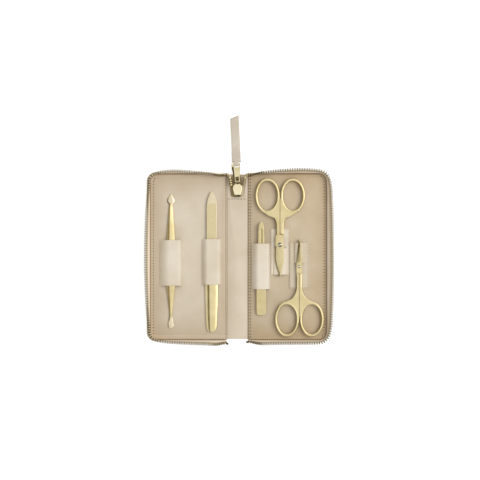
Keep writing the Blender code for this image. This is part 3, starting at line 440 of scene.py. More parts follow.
def along(points, pitch):
    """Even places along a line of points, each with the direction of the line there."""
    reach = [0.0]
    for a, b in zip(points, points[1:]):
        reach.append(reach[-1] + (b - a).length)
    count = max(1, round(reach[-1] / pitch))
    places, i = [], 0
    for n in range(count + 1):
        at = reach[-1] * n / count
        while i < len(points) - 2 and reach[i + 1] < at:
            i += 1
        share = (at - reach[i]) / (reach[i + 1] - reach[i])
        places.append((points[i].lerp(points[i + 1], share), (points[i + 1] - points[i]).normalized()))
    return places


def copies(name, model, matrices):
    """Sets out copies of one modelled shape and joins them to one piece."""
    laid = []
    for matrix in matrices:
        copied = twin(model, name)
        copied.data.transform(matrix)
        laid.append(copied)
    bpy.ops.object.select_all(action="DESELECT")
    for copied in laid:
        copied.select_set(True)
    bpy.context.view_layer.objects.active = laid[0]
    if len(laid) > 1:
        bpy.ops.object.join()
    joined = bpy.context.object
    joined.name = name
    return joined


def seated(place, ahead, up):
    """The matrix that sets a shape at a place, its X ahead and its Z up."""
    across = up.cross(ahead).normalized()
    level = ahead.cross(across).normalized()
    turn = Matrix((ahead, across, level)).transposed().to_4x4()
    return Matrix.Translation(place) @ turn


def sew(name, lines, body, size=1.0):
    """Sews thread along lines: a stitch on each pitch and a needle hole at each end of it."""
    threads, holes = [], []
    for line in lines:
        places = along([Vector(p) for p in line], STITCH_PITCH / 2)
        for n, (place, ahead) in enumerate(places):
            matrix = seated(place, ahead, Vector((0, 0, 1))) @ Matrix.Scale(size, 4)
            (threads if n % 2 else holes).append(matrix)
    row = copies(name, stitch, threads)
    dots = copies(name + "_holes", hole, holes)
    bpy.ops.object.select_all(action="DESELECT")
    dots.select_set(True)
    row.select_set(True)
    bpy.context.view_layer.objects.active = row
    bpy.ops.object.join()
    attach(row, body)
    return row


def round_corner(centre, radius, start, end, steps):
    """Points round a corner, in degrees."""
    angles = [math.radians(start + (end - start) * i / steps) for i in range(steps + 1)]
    return [(centre[0] + radius * math.cos(a), centre[1] + radius * math.sin(a)) for a in angles]


def seam_line(side, inset, z):
    """A line down a lining's outer side and round its two corners."""
    far, high, radius = LINING_REACH - inset, LINING_HALF_HEIGHT - inset, LINING_CORNER - inset
    points = round_corner((far - radius, high - radius), radius, 62, 0, 8)
    points += round_corner((far - radius, radius - high), radius, 0, -62, 8)
    return [(side * x, y, z) for x, y in points]


# how far the lining has dropped at each distance from the middle of the spine
FOLD_SLOPE = ((0.0100, 0.00114), (0.0106, 0.00082), (0.0112, 0.00050), (0.0119, 0.00022), (0.0127, 0.00006))


def lining_top(x):
    """The height of a half's lining at a distance from the middle of the spine."""
    marks = (*FOLD_SLOPE, (0.0136, 0.0))
    for (near, drop), (far, less) in zip(marks, marks[1:]):
        if x <= far:
            return TRAY_Z - drop - (less - drop) * max(x - near, 0) / (far - near)
    return TRAY_Z


for side, word in ((-1, "left"), (1, "right")):
    start = LINING_START - LINING_SPARE
    width = LINING_REACH - start
    place = (side * (start + width / 2), 0, TRAY_Z)
    lining = sheet(word + "_lining_panel", width, 2 * LINING_HALF_HEIGHT, place)
    work_on(lining, "VERT", lambda v: side * v.co.x > LINING_REACH / 2)
    bpy.ops.mesh.bevel(offset=LINING_CORNER, segments=10, affect="VERTICES")
    pick("FACE", all_of)
    bpy.ops.mesh.inset(thickness=LINING_SEAMS[word] - SEAM_HALF, depth=0)
    bpy.ops.mesh.inset(thickness=SEAM_HALF, depth=-SEAM_DIP)
    bpy.ops.mesh.inset(thickness=SEAM_HALF, depth=SEAM_DIP)
    # the spare leather is cut away, so that the groove runs off at the fold
    pick("FACE", all_of)
    bpy.ops.mesh.bisect(plane_co=(side * LINING_START, 0, 0), plane_no=(side, 0, 0), clear_inner=True)
    for across, _ in FOLD_SLOPE[1:]:
        pick("FACE", all_of)
        bpy.ops.mesh.bisect(plane_co=(side * across, 0, 0), plane_no=(side, 0, 0))
    for across, drop in FOLD_SLOPE:
        pick("VERT", lambda v: level_with(abs(v.co.x), across))
        bpy.ops.transform.translate(value=(0, 0, -drop))
    pick("EDGE", lambda e: all(level_with(abs(v.co.x), LINING_START) for v in e.verts))
    for step, drop in LINING_ROLLS[word]:
        bpy.ops.mesh.extrude_region_move(TRANSFORM_OT_translate={"value": (side * step, 0, drop)})
    bpy.ops.object.mode_set(mode="OBJECT")
    thicken(lining, LINING_SHELL, -1)
    upper_edges = TRAY_Z - LINING_SHELL * 0.4
    round_over(
        lining, lambda e: is_sharp(e) and all(v.co.z > upper_edges for v in e.verts), LINING_EDGE_RADIUS, 3, 50
    )
    lining.data.materials.append(lining_hides[word])
    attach(lining, word + "_half")
    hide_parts(word + "_lining")
    lines = [seam_line(side, LINING_SEAMS[word], TRAY_Z + THREAD_LIFT)]
    for across in INNER_SEAMS[word]:
        z = lining_top(across) + INNER_STITCH_RISE
        lines.append([(side * across, INNER_SEAM_HALF, z), (side * across, -INNER_SEAM_HALF, z)])
    sew(word + "_lining_stitches", lines, word + "_half")


# Spine lining. The same leather covers the spine, with a rounded cut-out at the top for the zip,
# a row of thread under it and a turned hem at the foot.
SPINE_HALF_WIDTH = 0.0094
SPINE_HALF_HEIGHT = 0.0757
SPINE_TOP = 0.0021
SPINE_EDGE_RADIUS = 0.00012
CUTOUT_Y = 0.0551
CUTOUT_HALF = 0.0060
CUTOUT_TOP_HALF = 0.0084
CUTOUT_CORNER = 0.0014
HEM_Y = -0.0731
HEM_RISE = 0.00025
SPINE_SEAM_Y = 0.0532
SPINE_SEAM_HALF = 0.0078

spine_hide = smooth_cowhide("spine_cowhide", ("#D2C2A9", "#D9CAB3", "#DDD0BB"), 0.0008, 0.44, 0.58)
spine_lining = sheet("spine_lining_panel", 2 * SPINE_HALF_WIDTH, 2 * SPINE_HALF_HEIGHT, (0, 0, SPINE_TOP))
flare = math.atan2(CUTOUT_TOP_HALF - CUTOUT_HALF, SPINE_HALF_HEIGHT - CUTOUT_Y)
work_on(spine_lining, "FACE", all_of)
bpy.ops.mesh.bisect(plane_co=(0, CUTOUT_Y, 0), plane_no=(0, 1, 0))
for side in (-1, 1):
    pick("FACE", lambda f: f.calc_center_median().y > CUTOUT_Y)
    bpy.ops.mesh.bisect(
        plane_co=(side * CUTOUT_HALF, CUTOUT_Y, 0), plane_no=(side * math.cos(flare), -math.sin(flare), 0)
    )
pick("FACE", lambda f: f.calc_center_median().y > CUTOUT_Y and abs(f.calc_center_median().x) < CUTOUT_HALF / 2)
bpy.ops.mesh.delete(type="FACE")
pick("VERT", lambda v: level_with(v.co.y, CUTOUT_Y) and level_with(abs(v.co.x), CUTOUT_HALF))
bpy.ops.mesh.bevel(offset=CUTOUT_CORNER, segments=5, affect="VERTICES")
pick("FACE", all_of)
bpy.ops.mesh.bisect(plane_co=(0, HEM_Y, 0), plane_no=(0, 1, 0))
bpy.ops.object.mode_set(mode="OBJECT")
thicken(spine_lining, LINING_THICK, -1)
work_on(spine_lining, "FACE", lambda f: f.calc_center_median().y < HEM_Y and f.normal.z > 0.9)
bpy.ops.mesh.extrude_region_move(TRANSFORM_OT_translate={"value": (0, 0, HEM_RISE)})
pick("EDGE", lambda e: is_sharp(e) and all(v.co.z > SPINE_TOP - SPINE_EDGE_RADIUS for v in e.verts))
bpy.ops.mesh.bevel(offset=SPINE_EDGE_RADIUS, segments=2, affect="EDGES")
close_up()
soften(spine_lining, 50)
spine_lining.data.materials.append(spine_hide)
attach(spine_lining, "spine")
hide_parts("spine_lining")
spine_seam = [(across, SPINE_SEAM_Y, SPINE_TOP + THREAD_LIFT) for across in (-SPINE_SEAM_HALF, SPINE_SEAM_HALF)]
sew("spine_lining_stitches", [spine_seam], "spine")


# Walls. A band of the same leather stands round three sides of each half, leans outwards and
# drops towards the spine. Its top edge is turned over the zip tape and sewn through it.
WALL_FOOT_Z = 0.0018
WALL_FOOT_X = {"left": 0.0813, "right": 0.08266}
WALL_FOOT_Y = 0.0772
WALL_CORNER = 0.0075
WALL_START = 0.0100
WALL_THICK = 0.0010
WALL_EDGE_RADIUS = 0.0003
WALL_SHARE = 0.6
RIM_END_Z = 0.0062
RIM_Z = 0.01165
RIM_RUN = 0.0140
CHAIN_HEIGHT = 0.0020
GAP = 0.0003
HALF_MIDDLE_X = 0.0450
HALF_MIDDLE_Z = 0.0040
# steps along an end, round a corner and down half a side. Along an end they crowd at the spine
END_STEPS = 30
END_CROWDING = 1.4
CORNER_STEPS = 12
SIDE_STEPS = 18
SIDE_SAG = 2.2
RIM_EASINGS = 5


def gentle(share):
    """Turns an even share into one that starts and ends gently."""
    share = min(max(share, 0), 1)
    return share * share * (3 - 2 * share)


def rim_height(x):
    """The rim drops in a smooth curve towards the spine."""
    return RIM_END_Z + (RIM_Z - RIM_END_Z) * gentle((x - WALL_START) / RIM_RUN)


# how far the walls lean out, in degrees, at distances from the middle of the spine. They curl in
# towards the slider at the head, and most of the foot and of the sides sags outwards
HEAD_LEANS = {
    "left": ((0.0100, -28), (0.0153, -28), (0.0251, -10), (0.0443, 2), (0.0583, 9), (0.0700, 2), (0.0752, -3)),
    "right": (
        (0.0100, -27), (0.0129, -24), (0.0198, -6), (0.0375, 8), (0.0550, 15), (0.0640, 15), (0.0724, 11),
        (0.0752, 9),
    ),
}
FOOT_LEANS = {
    "left": ((0.0100, 33), (0.0150, 29), (0.0250, 14), (0.0450, 10), (0.0650, 3), (0.0752, -8)),
    "right": ((0.0100, 16), (0.0150, 19), (0.0250, 12), (0.0450, 10), (0.0650, 9), (0.0752, 8)),
}
CORNER_LEANS = {"left": -10, "right": 8}
# at the middle of the side and at its ends
SIDE_LEANS = {"left": (14, -9), "right": (27, 17)}


def read_off(table, x):
    """The value that a table gives at a distance, even between its entries."""
    for (near, a), (far, b) in zip(table, table[1:]):
        if x <= far:
            share = max(0.0, (x - near) / (far - near))
            return a + (b - a) * share
    return table[-1][1]


def wall_lines(word):
    """Pairs of a foot point and a rim point round one half's three walled sides, as for the right."""
    far = WALL_FOOT_X[word]
    corner_x, corner_y = far - WALL_CORNER, WALL_FOOT_Y - WALL_CORNER
    stations = []
    for i in range(END_STEPS):
        share = (i / END_STEPS) ** END_CROWDING
        stations.append((WALL_START + share * (corner_x - WALL_START), WALL_FOOT_Y, 90))
    for i in range(CORNER_STEPS + 1):
        angle = 90 - i * 90 / CORNER_STEPS
        turn = math.radians(angle)
        stations.append((corner_x + WALL_CORNER * math.cos(turn), corner_y + WALL_CORNER * math.sin(turn), angle))
    for i in range(1, SIDE_STEPS + 1):
        stations.append((far, (1 - i / SIDE_STEPS) * corner_y, 0))
    stations += [(x, -y, -angle) for x, y, angle in reversed(stations[:-1])]
    pairs = []
    for x, y, angle in stations:
        if abs(angle) == 90:
            lean = read_off(HEAD_LEANS[word] if y > 0 else FOOT_LEANS[word], x)
        elif angle:
            lean = CORNER_LEANS[word]
        else:
            middle, end = SIDE_LEANS[word]
            lean = middle + (end - middle) * (abs(y) / corner_y) ** SIDE_SAG
        rise = rim_height(x) - WALL_FOOT_Z
        out = rise * math.tan(math.radians(lean))
        turn = math.radians(angle)
        foot = Vector((x, y, WALL_FOOT_Z))
        pairs.append((foot, foot + Vector((out * math.cos(turn), out * math.sin(turn), rise))))
    # the leather takes no corner in its rim, so the rim is eased between neighbours
    for _ in range(RIM_EASINGS):
        rims = [rim for _, rim in pairs]
        for i in range(1, len(pairs) - 1):
            pairs[i] = (pairs[i][0], rims[i] * 0.5 + (rims[i - 1] + rims[i + 1]) * 0.25)
    return pairs


WALLS = {word: wall_lines(word) for word in ("left", "right")}


def leather_height(foot, rim):
    """How high the leather stands up a wall. The zip takes the rest."""
    return ((rim - foot).length - CHAIN_HEIGHT - 2 * GAP) * WALL_SHARE


def ribbon(name, rows):
    """A strip laid out row by row: each row is extruded from the last and its points moved to place."""
    bpy.ops.object.select_all(action="DESELECT")
    bpy.ops.mesh.primitive_plane_add(size=2, location=(0, 0, 0))
    piece = bpy.context.object
    piece.name = name
    work_on(piece, "VERT", lambda v: v.co.x > 0)
    bpy.ops.mesh.delete(type="VERT")
    for corner, place in zip(((-1, -1, 0), (-1, 1, 0)), rows[0][:2]):
        pick("VERT", lambda v: (v.co - Vector(corner)).length < 0.0001)
        bpy.ops.transform.translate(value=Vector(place) - Vector(corner))
    at = rows[0][1]
    for place in rows[0][2:]:
        pick("VERT", lambda v: (v.co - Vector(at)).length < 0.0000001)
        bpy.ops.mesh.extrude_region_move(TRANSFORM_OT_translate={"value": Vector(place) - Vector(at)})
        at = place
    pick("EDGE", all_of)
    for row, following in zip(rows, rows[1:]):
        step = Vector(following[0]) - Vector(row[0])
        bpy.ops.mesh.extrude_region_move(TRANSFORM_OT_translate={"value": step})
        bm = bmesh.from_edit_mesh(piece.data)
        picked = [v for v in bm.verts if v.select]
        for before, place in zip(row, following):
            moved = Vector(before) + step
            corner = min(picked, key=lambda v: (v.co - moved).length)
            corner.co = Vector(place)
        bmesh.update_edit_mesh(piece.data)
    bpy.ops.object.mode_set(mode="OBJECT")
    return piece


def sided(side, rows):
    """Rows laid out as for the right half, taken to this side."""
    return [[(side * p[0], p[1], p[2]) for p in row] for row in rows]


def facing_out(piece, centre):
    """Turns an open strip's faces away from a centre."""
    work_on(piece, "FACE", lambda f: (f.calc_center_median() - Vector(centre)).dot(f.normal) < 0)
    bpy.ops.mesh.flip_normals()
    bpy.ops.object.mode_set(mode="OBJECT")


# the walls' leather is a much paler copy of the lining's tones: painted light
painted_light_wall_hide = smooth_cowhide("wall_cowhide_painted_light", ("#FAEACE", "#FDF0DB", "#FEF4E3"), 0.0009, 0.46, 0.60)
for side, word in ((-1, "left"), (1, "right")):
    rows = []
    for foot, rim in WALLS[word]:
        up = (rim - foot).normalized()
        high = leather_height(foot, rim)
        rows.append([foot, foot + up * high * 0.5, foot + up * high])
    wall = ribbon(word + "_wall_leather", sided(side, rows))
    facing_out(wall, (side * HALF_MIDDLE_X, 0, HALF_MIDDLE_Z))
    thicken(wall, WALL_THICK)
    # its top edges only, because the foot stands on the lining
    foot_top = WALL_FOOT_Z + WALL_THICK / 2
    round_over(
        wall, lambda e: is_sharp(e) and max(v.co.z for v in e.verts) > foot_top, WALL_EDGE_RADIUS, 3, 45
    )
    wall.data.materials.append(painted_light_wall_hide)
    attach(wall, word + "_half")
    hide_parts(word + "_wall")


# Zip tape and chain. Woven polyester tape rises from the wall, and brass teeth are clamped on its
# corded edge, one every 2.2 mm. A small stop closes each end beside the spine.
TAPE_THICK = 0.0007
TAPE_LAP = 0.0003
TAPE_END = CHAIN_HEIGHT * 0.8
CORD_THICK = 0.0008
CORD_RADIUS = 0.0003
CORD_HEAD = 0.0010
TOOTH_PITCH = 0.0022
TOOTH_ALONG = 0.00122
TOOTH_ACROSS = 0.0020
TOOTH_HIGH = 0.0023
TOOTH_TILT = math.radians(42)
TOOTH_SINK = 0.0002
TILT_START = 0.0120
TILT_RUN = 0.0120
BROAD_SIDE_WIDTH = 1.2
STOP_SIZE = (0.0016, 0.0019, CHAIN_HEIGHT)


def woven_tape(name, tones, painted_light_from=None):
    """Polyester zip tape in herringbone weave. It gives fine ribs and a dry, matt face. Where a
    distance along X is given, the tone turns paler from there on, as painted light on one side of
    the short tail in the cut-out."""
    pitch = 0.0007
    material, tree, shader = blank(name)
    place = put(tree, "TexCoord").outputs["Object"]
    ribs = []
    for turns, way in ((5, "DIAGONAL"), (7, "Z")):
        yarn = {"Vector": place, "Scale": math.pi / turns / pitch, "Distortion": 0.4}
        ribs.append(put(tree, "TexWave", yarn, bands_direction=way).outputs["Fac"])
    weave = put(tree, "Math", {0: ribs[0], 1: ribs[1]}, operation="MULTIPLY")
    tone = put(tree, "ValToRGB", {"Fac": weave.outputs["Value"]}, stops=tuple(zip((0.0, 0.4, 0.9), tones)))
    colour = tone.outputs["Color"]
    if painted_light_from:
        across = put(tree, "SeparateXYZ", {"Vector": place}).outputs["X"]
        span = {"Value": across, "From Min": painted_light_from, "From Max": painted_light_from + 0.0012, "To Max": 0.8}
        tint = {0: put(tree, "MapRange", span).outputs["Result"], 6: colour, 7: paint("#D6C6AA")}
        colour = put(tree, "Mix", tint, data_type="RGBA").outputs[2]
    bump = put(tree, "Bump", {"Strength": 0.5, "Distance": 0.00006, "Height": weave.outputs["Value"]})
    feed(shader, {"Base Color": colour, "Normal": bump.outputs["Normal"]})
    feed(shader, {"Roughness": 0.82, "Sheen Weight": 0.15})
    return material


def cast_brass(name, tones, low, high):
    """Plated brass, tumbled. It gives a bright but slightly uneven small metal part."""
    material, tree, shader = blank(name)
    place = put(tree, "TexCoord").outputs["Object"]
    patina = put(tree, "TexNoise", {"Vector": place, "Scale": 1 / 0.0016, "Detail": 3.0}).outputs["Fac"]
    tone = put(tree, "ValToRGB", {"Fac": patina}, stops=tuple(zip((0.3, 0.7), tones)))
    gloss = {"Value": patina, "From Min": 0.3, "From Max": 0.7, "To Min": low, "To Max": high}
    rough = put(tree, "MapRange", gloss).outputs["Result"]
    feed(shader, {"Base Color": tone.outputs["Color"], "Roughness": rough, "Metallic": 1})
    return material


def cast_block(name, size, place, margin, rise, radius, crest=(1, 1, 1)):
    """A small cast block. Its top may taper to a crest, and is set up or down inside a margin."""
    piece = block(name, size, place)
    work_on(piece, "FACE", lambda f: f.normal.z > 0.9)
    bpy.ops.transform.resize(value=crest)
    bpy.ops.mesh.inset(thickness=margin, depth=0)
    bpy.ops.transform.translate(value=(0, 0, rise))
    pick("EDGE", is_sharp)
    bpy.ops.mesh.bevel(offset=radius, segments=2, affect="EDGES")
    close_up()
    soften(piece, 50)
    return piece


tape_weave = woven_tape("woven_zip_tape", ("#CDB993", "#DFCFB1", "#EADFC8"))
# the teeth's and stops' brass is set dark as painted shade; the teeth by the slider take a pale copy as painted
# light
tooth_brass = cast_brass("tooth_brass", ("#4E4326", "#6E6140"), 0.30, 0.44)
painted_lit_brass = cast_brass("painted_lit_tooth_brass", ("#B7AA80", "#D0C49C"), 0.24, 0.36)

# one tooth: X runs along the chain, Y across it and Z up, with a nub on its head
tooth_size = (TOOTH_ALONG, TOOTH_ACROSS, TOOTH_HIGH)
tooth = cast_block("tooth", tooth_size, (0, 0, -TOOTH_HIGH / 2), 0.00018, 0.00010, 0.00016, (0.94, 0.80, 1))
# beside the slider the teeth take a pale brass as painted light, and the short chain there shows its broad side
painted_lit_tooth = twin(tooth, "painted_lit_tooth")
hold(painted_lit_tooth)
painted_lit_tooth = sized("painted_lit_tooth", (1, BROAD_SIDE_WIDTH, 1))
tooth.data.materials.append(tooth_brass)
painted_lit_tooth.data.materials.append(painted_lit_brass)


def chain(name, model, lines, side):
    """A row of teeth on the cord. Away from the spine the chain rolls outwards, so its teeth tilt."""
    rims = [rim for _, rim in lines]
    matrices = []
    for place, ahead in along(rims, TOOTH_PITCH):
        foot, rim = min(lines, key=lambda line: (line[1] - place).length)
        up = (rim - foot).normalized()
        turn = TOOTH_TILT * gentle((place.x - TILT_START) / TILT_RUN)
        tilted = up * math.cos(turn) + up.cross(ahead).normalized() * math.sin(turn)
        top = place - up * (CHAIN_HEIGHT + TOOTH_SINK) + tilted * TOOTH_HIGH
        matrices.append(seated(*(Vector((side * v.x, v.y, v.z)) for v in (top, ahead, tilted))))
    return copies(name, model, matrices)


for side, word in ((-1, "left"), (1, "right")):
    middle = (side * HALF_MIDDLE_X, 0, HALF_MIDDLE_Z)
    tape_rows, cord_rows = [], []
    for foot, rim in WALLS[word]:
        up = (rim - foot).normalized()
        tape_rows.append([foot + up * (leather_height(foot, rim) + TAPE_LAP), rim - up * TAPE_END])
        cord_rows.append([rim - up * CHAIN_HEIGHT, rim - up * CORD_HEAD])
    tape = ribbon(word + "_zip_weave", sided(side, tape_rows))
    facing_out(tape, middle)
    thicken(tape, TAPE_THICK)
    close_up()
    soften(tape, 45)
    cord = ribbon(word + "_zip_corded_edge", sided(side, cord_rows))
    facing_out(cord, middle)
    thicken(cord, CORD_THICK)
    round_over(cord, is_sharp, CORD_RADIUS, 2, 60)
    teeth = chain(word + "_zip_teeth_row", tooth, WALLS[word], side)
    end_rim = WALLS[word][-1][1]
    stop_place = (side * (WALL_START - GAP - STOP_SIZE[0] / 2), end_rim.y, end_rim.z - CHAIN_HEIGHT * 0.6)
    stop = cast_block(word + "_zip_end_stop", STOP_SIZE, stop_place, 0.0003, 0.0001, 0.0002)
    for piece, material, slot, node in (
        (tape, tape_weave, "zip_tape", word + "_zip_tape"),
        (cord, tape_weave, "zip_tape", None),
        (teeth, None, "zip_teeth", word + "_zip_teeth"),
        (stop, tooth_brass, "zip_teeth", word + "_zip_top_stop"),
    ):
        if material:
            piece.data.materials.append(material)
        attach(piece, word + "_half")
        if node:
            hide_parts(node)


# Zip on the spine. The tape's two tails lie folded in the cut-out, a stop is crimped over their end,
# and a short run of chain rises on each side of the slider to meet the halves.
TAIL_HALF = 0.0055
TAIL_FLARE = 0.0024
TAIL_FOOT_Y = 0.0554
TAIL_LENGTH = 0.0180
TAIL_Z = 0.00178
TAIL_RIPPLE = 0.00022
TAIL_THICK = 0.0004
CRIMP_SIZE = (0.0050, 0.0012, 0.0026)
CRIMP_PLACE = (0, 0.0560, 0.0037)
WING_NEAR = 0.00575
WING_FAR = 0.00670
WING_LOW_Y = 0.0659
WING_HIGH_Y = 0.0721
WING_LOW_Z = 0.00275
WING_SPLAY = 0.0008
WING_SET_BACK = 0.0004
WING_RISE = 0.0034
WING_STEPS = 8


def tape_piece(name, side, lines):
    """A short piece of tape between foot points and rim points, laid out as for the right."""
    rows = [[foot, rim - (rim - foot).normalized() * TAPE_END] for foot, rim in lines]
    piece = ribbon(name, sided(side, rows))
    thicken(piece, TAPE_THICK)
    close_up()
    soften(piece, 45)
    return piece


def tail_point(across, up):
    """A point on the tail: it widens upwards from its foot and is slightly rippled."""
    ripple = TAIL_RIPPLE * math.sin(3.1 * across + 4.2 * up)
    return (across * (TAIL_HALF + TAIL_FLARE * up), TAIL_FOOT_Y + TAIL_LENGTH * up, TAIL_Z + ripple)


# a darker copy of the tape's tones, as painted shade on the tail and the wings, with painted light on the tail's
# right side
shaded_weave = woven_tape("painted_shade_and_light_zip_tape", ("#97835B", "#AC966E", "#BEA981"), 0.0032)
tail = ribbon("zip_tail_weave", [[tail_point(i / 5, j / 5) for j in range(6)] for i in range(-5, 6)])
thicken(tail, TAIL_THICK)
close_up()
soften(tail, 50)
tail.data.materials.append(shaded_weave)
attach(tail, "spine")
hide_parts("zip_tape_tail")

crimp = cast_block("zip_foot_stop", CRIMP_SIZE, CRIMP_PLACE, 0.0002, -0.0002, 0.0002)
crimp.data.materials.append(tooth_brass)
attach(crimp, "spine")
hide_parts("zip_bottom_stop")

for side, word in ((-1, "left"), (1, "right")):
    wing_lines = []
    for i in range(WING_STEPS + 1):
        share = i / WING_STEPS
        x = WING_NEAR + (WING_FAR - WING_NEAR) * share
        y = WING_LOW_Y + (WING_HIGH_Y - WING_LOW_Y) * share
        rim_z = WING_LOW_Z + CHAIN_HEIGHT + 2 * GAP + WING_RISE * (1 + share) / 2
        wing_lines.append((Vector((x + WING_SPLAY, y + WING_SET_BACK, WING_LOW_Z)), Vector((x, y, rim_z))))
    wing = tape_piece("zip_wing_weave_" + word, side, wing_lines)
    wing.data.materials.append(shaded_weave)
    run = chain("zip_run_teeth_" + word, painted_lit_tooth, wing_lines, side)
    for piece, slot, node in ((wing, "zip_tape", "zip_wing_" + word), (run, "zip_teeth", "zip_run_" + word)):
        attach(piece, "spine")
        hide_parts(node)


# Chain bends. Between the spine and each half the tape and a few teeth bend freely. This short
# length is laid out between the two and stays where it lies.
BEND_SWEEP = Vector((-0.0004, 0.0006, 0))

for side, word in ((-1, "left"), (1, "right")):
    end_foot, end_rim = WALLS[word][0]
    start_foot = Vector((WING_FAR + WING_SPLAY, WING_HIGH_Y + WING_SET_BACK, WING_LOW_Z))
    start_rim = Vector((WING_FAR, WING_HIGH_Y, WING_LOW_Z + CHAIN_HEIGHT + 2 * GAP + WING_RISE))
    bend_lines = []
    for i in range(WING_STEPS + 1):
        share = i / WING_STEPS
        sweep = BEND_SWEEP * math.sin(math.pi * share)
        bend_lines.append((start_foot.lerp(end_foot, share) + sweep, start_rim.lerp(end_rim, share) + sweep))
    bend = tape_piece(word + "_chain_bend", side, bend_lines)
    bend.data.materials.append(tape_weave)
    bend_teeth = chain(word + "_chain_bend_teeth", painted_lit_tooth, bend_lines[2:-1], side)
    for piece, slot in ((bend, "zip_tape"), (bend_teeth, "zip_teeth")):
        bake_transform(piece)


# Slider. A cast slider in champagne gold: two rounded plates on a post, edges turned in over the
# chain, and an upright lug that the pull's bar turns in.
SLIDER_Y = 0.0569
SLIDER_LENGTH = 0.0104
SLIDER_HALF = 0.00435
SLIDER_TAIL_HALF = 0.0032
SLIDER_TAIL_CORNER = 0.0011
SLIDER_Z = 0.0024
SLIDER_TOP = 0.0063
SLIDER_UPPER_THICK = 0.0009
SLIDER_LOWER_THICK = 0.0008
POST_RADIUS = 0.0011
CHEEK_THICK = 0.0006
CHEEK_ENDS = (0.0005, 0.0055)
CHEEK_SPAN = (0.0003, 0.0014)
LUG_Y = 0.0690
LUG_Z = 0.0075
LUG_RADIUS = 0.0022
LUG_HOLE = 0.00115
LUG_HALF = 0.0009
# how far the lug's foot reaches above and below the post's middle
LUG_FOOT_UP = 0.0006
LUG_FOOT_DOWN = 0.0012
SLIDER_SINK = 0.0004


def gold_steel(name, tones, low, high, across, run):
    """Stainless steel, brushed and titanium-nitride coated in champagne gold. It gives a satin face
    with hairlines along the tool, soft wide highlights and deep brown-gold reflections."""
    material, tree, shader = blank(name)
    place = put(tree, "TexCoord").outputs["Object"]
    lines_at = put(tree, "Mapping", {"Vector": place, "Scale": (1 / across, 1 / run, 1 / across)})
    brushed = {"Vector": lines_at.outputs["Vector"], "Scale": 1.0, "Detail": 3.0, "Roughness": 0.6}
    hair = put(tree, "TexNoise", brushed).outputs["Fac"]
    tarnish = put(tree, "TexNoise", {"Vector": place, "Scale": 1 / 0.012, "Detail": 2.0})
    tone = put(tree, "ValToRGB", {"Fac": tarnish.outputs["Fac"]}, stops=tuple(zip((0.32, 0.66), tones)))
    gloss = {"Value": hair, "From Min": 0.3, "From Max": 0.7, "To Min": low, "To Max": high}
    rough = put(tree, "MapRange", gloss).outputs["Result"]
    bump = put(tree, "Bump", {"Strength": 0.12, "Distance": 0.00002, "Height": hair})
    feed(shader, {"Base Color": tone.outputs["Color"], "Normal": bump.outputs["Normal"]})
    feed(shader, {"Roughness": rough, "Metallic": 1})
    return material


def punched(name, outlines, bottom, top, edge, rounds=3):
    """A flat metal piece: its outline and holes drawn as a curve, thickened, with rounded edges."""
    curve = bpy.data.curves.new(name, "CURVE")
    curve.dimensions = "2D"
    curve.fill_mode = "BOTH"
    curve.extrude = (top - bottom) / 2 - edge
    curve.bevel_depth = edge
    curve.bevel_resolution = rounds
    curve.offset = -edge
    for outline in outlines:
        spline = curve.splines.new("POLY")
        spline.points.add(len(outline) - 1)
        for point, (x, y) in zip(spline.points, outline):
            point.co = (x, y, 0, 1)
        spline.use_cyclic_u = True
    piece = bpy.data.objects.new(name, curve)
    piece.location.z = (bottom + top) / 2
    bpy.context.collection.objects.link(piece)
    hold(piece)
    bpy.ops.object.convert(target="MESH")
    bpy.ops.object.transform_apply(location=True, rotation=True, scale=True)
    close_up()
    soften(piece, 38, True)
    return piece


def reshape(piece, kind, wanted, moved):
    """Moves each picked corner to where a rule puts it, and closes the piece up."""
    work_on(piece, kind, wanted)
    bm = bmesh.from_edit_mesh(piece.data)
    for corner in bm.verts:
        if corner.select:
            corner.co = moved(*corner.co)
    bmesh.update_edit_mesh(piece.data)
    close_up()


def joined(name, *pieces):
    """Joins parts of one piece."""
    bpy.ops.object.select_all(action="DESELECT")
    for piece in pieces:
        piece.select_set(True)
    bpy.context.view_layer.objects.active = pieces[0]
    bpy.ops.object.join()
    pieces[0].name = name
    return pieces[0]


def four_corners(left, right, bottom, top):
    """A rectangle's outline."""
    return [(left, bottom), (right, bottom), (right, top), (left, top)]


slider_gold = gold_steel("slider_gold", ("#DDD2A9", "#EAE0BE"), 0.20, 0.30, 0.0003, 0.0006)
tail_x, tail_y = SLIDER_TAIL_HALF - SLIDER_TAIL_CORNER, SLIDER_Y + SLIDER_TAIL_CORNER
slider_outline = round_corner((-tail_x, tail_y), SLIDER_TAIL_CORNER, 180, 270, 5)
slider_outline += round_corner((tail_x, tail_y), SLIDER_TAIL_CORNER, 270, 360, 5)
slider_outline += round_corner((0, SLIDER_Y + SLIDER_LENGTH - SLIDER_HALF), SLIDER_HALF, -12, 192, 32)
upper = punched("slider_case", [slider_outline], SLIDER_TOP - SLIDER_UPPER_THICK, SLIDER_TOP, 0.00035, 4)
lower = punched("slider_lower", [slider_outline], SLIDER_Z, SLIDER_Z + SLIDER_LOWER_THICK, 0.0003)
post_y = SLIDER_Y + SLIDER_LENGTH - SLIDER_HALF / 2
post_outline = round_corner((0, post_y), POST_RADIUS, 0, 342, 19)
post = punched("slider_post", [post_outline], SLIDER_Z + SLIDER_SINK, SLIDER_TOP - SLIDER_SINK, 0.0001)
cheeks = []
low, high = CHEEK_SPAN
for left in (-SLIDER_TAIL_HALF, SLIDER_TAIL_HALF - CHEEK_THICK):
    cheek = four_corners(left, left + CHEEK_THICK, *(SLIDER_Y + end for end in CHEEK_ENDS))
    for bottom, top in ((SLIDER_Z + low, SLIDER_Z + high), (SLIDER_TOP - high, SLIDER_TOP - low)):
        cheeks.append(punched("slider_cheek", [cheek], bottom, top, 0.00012, 2))
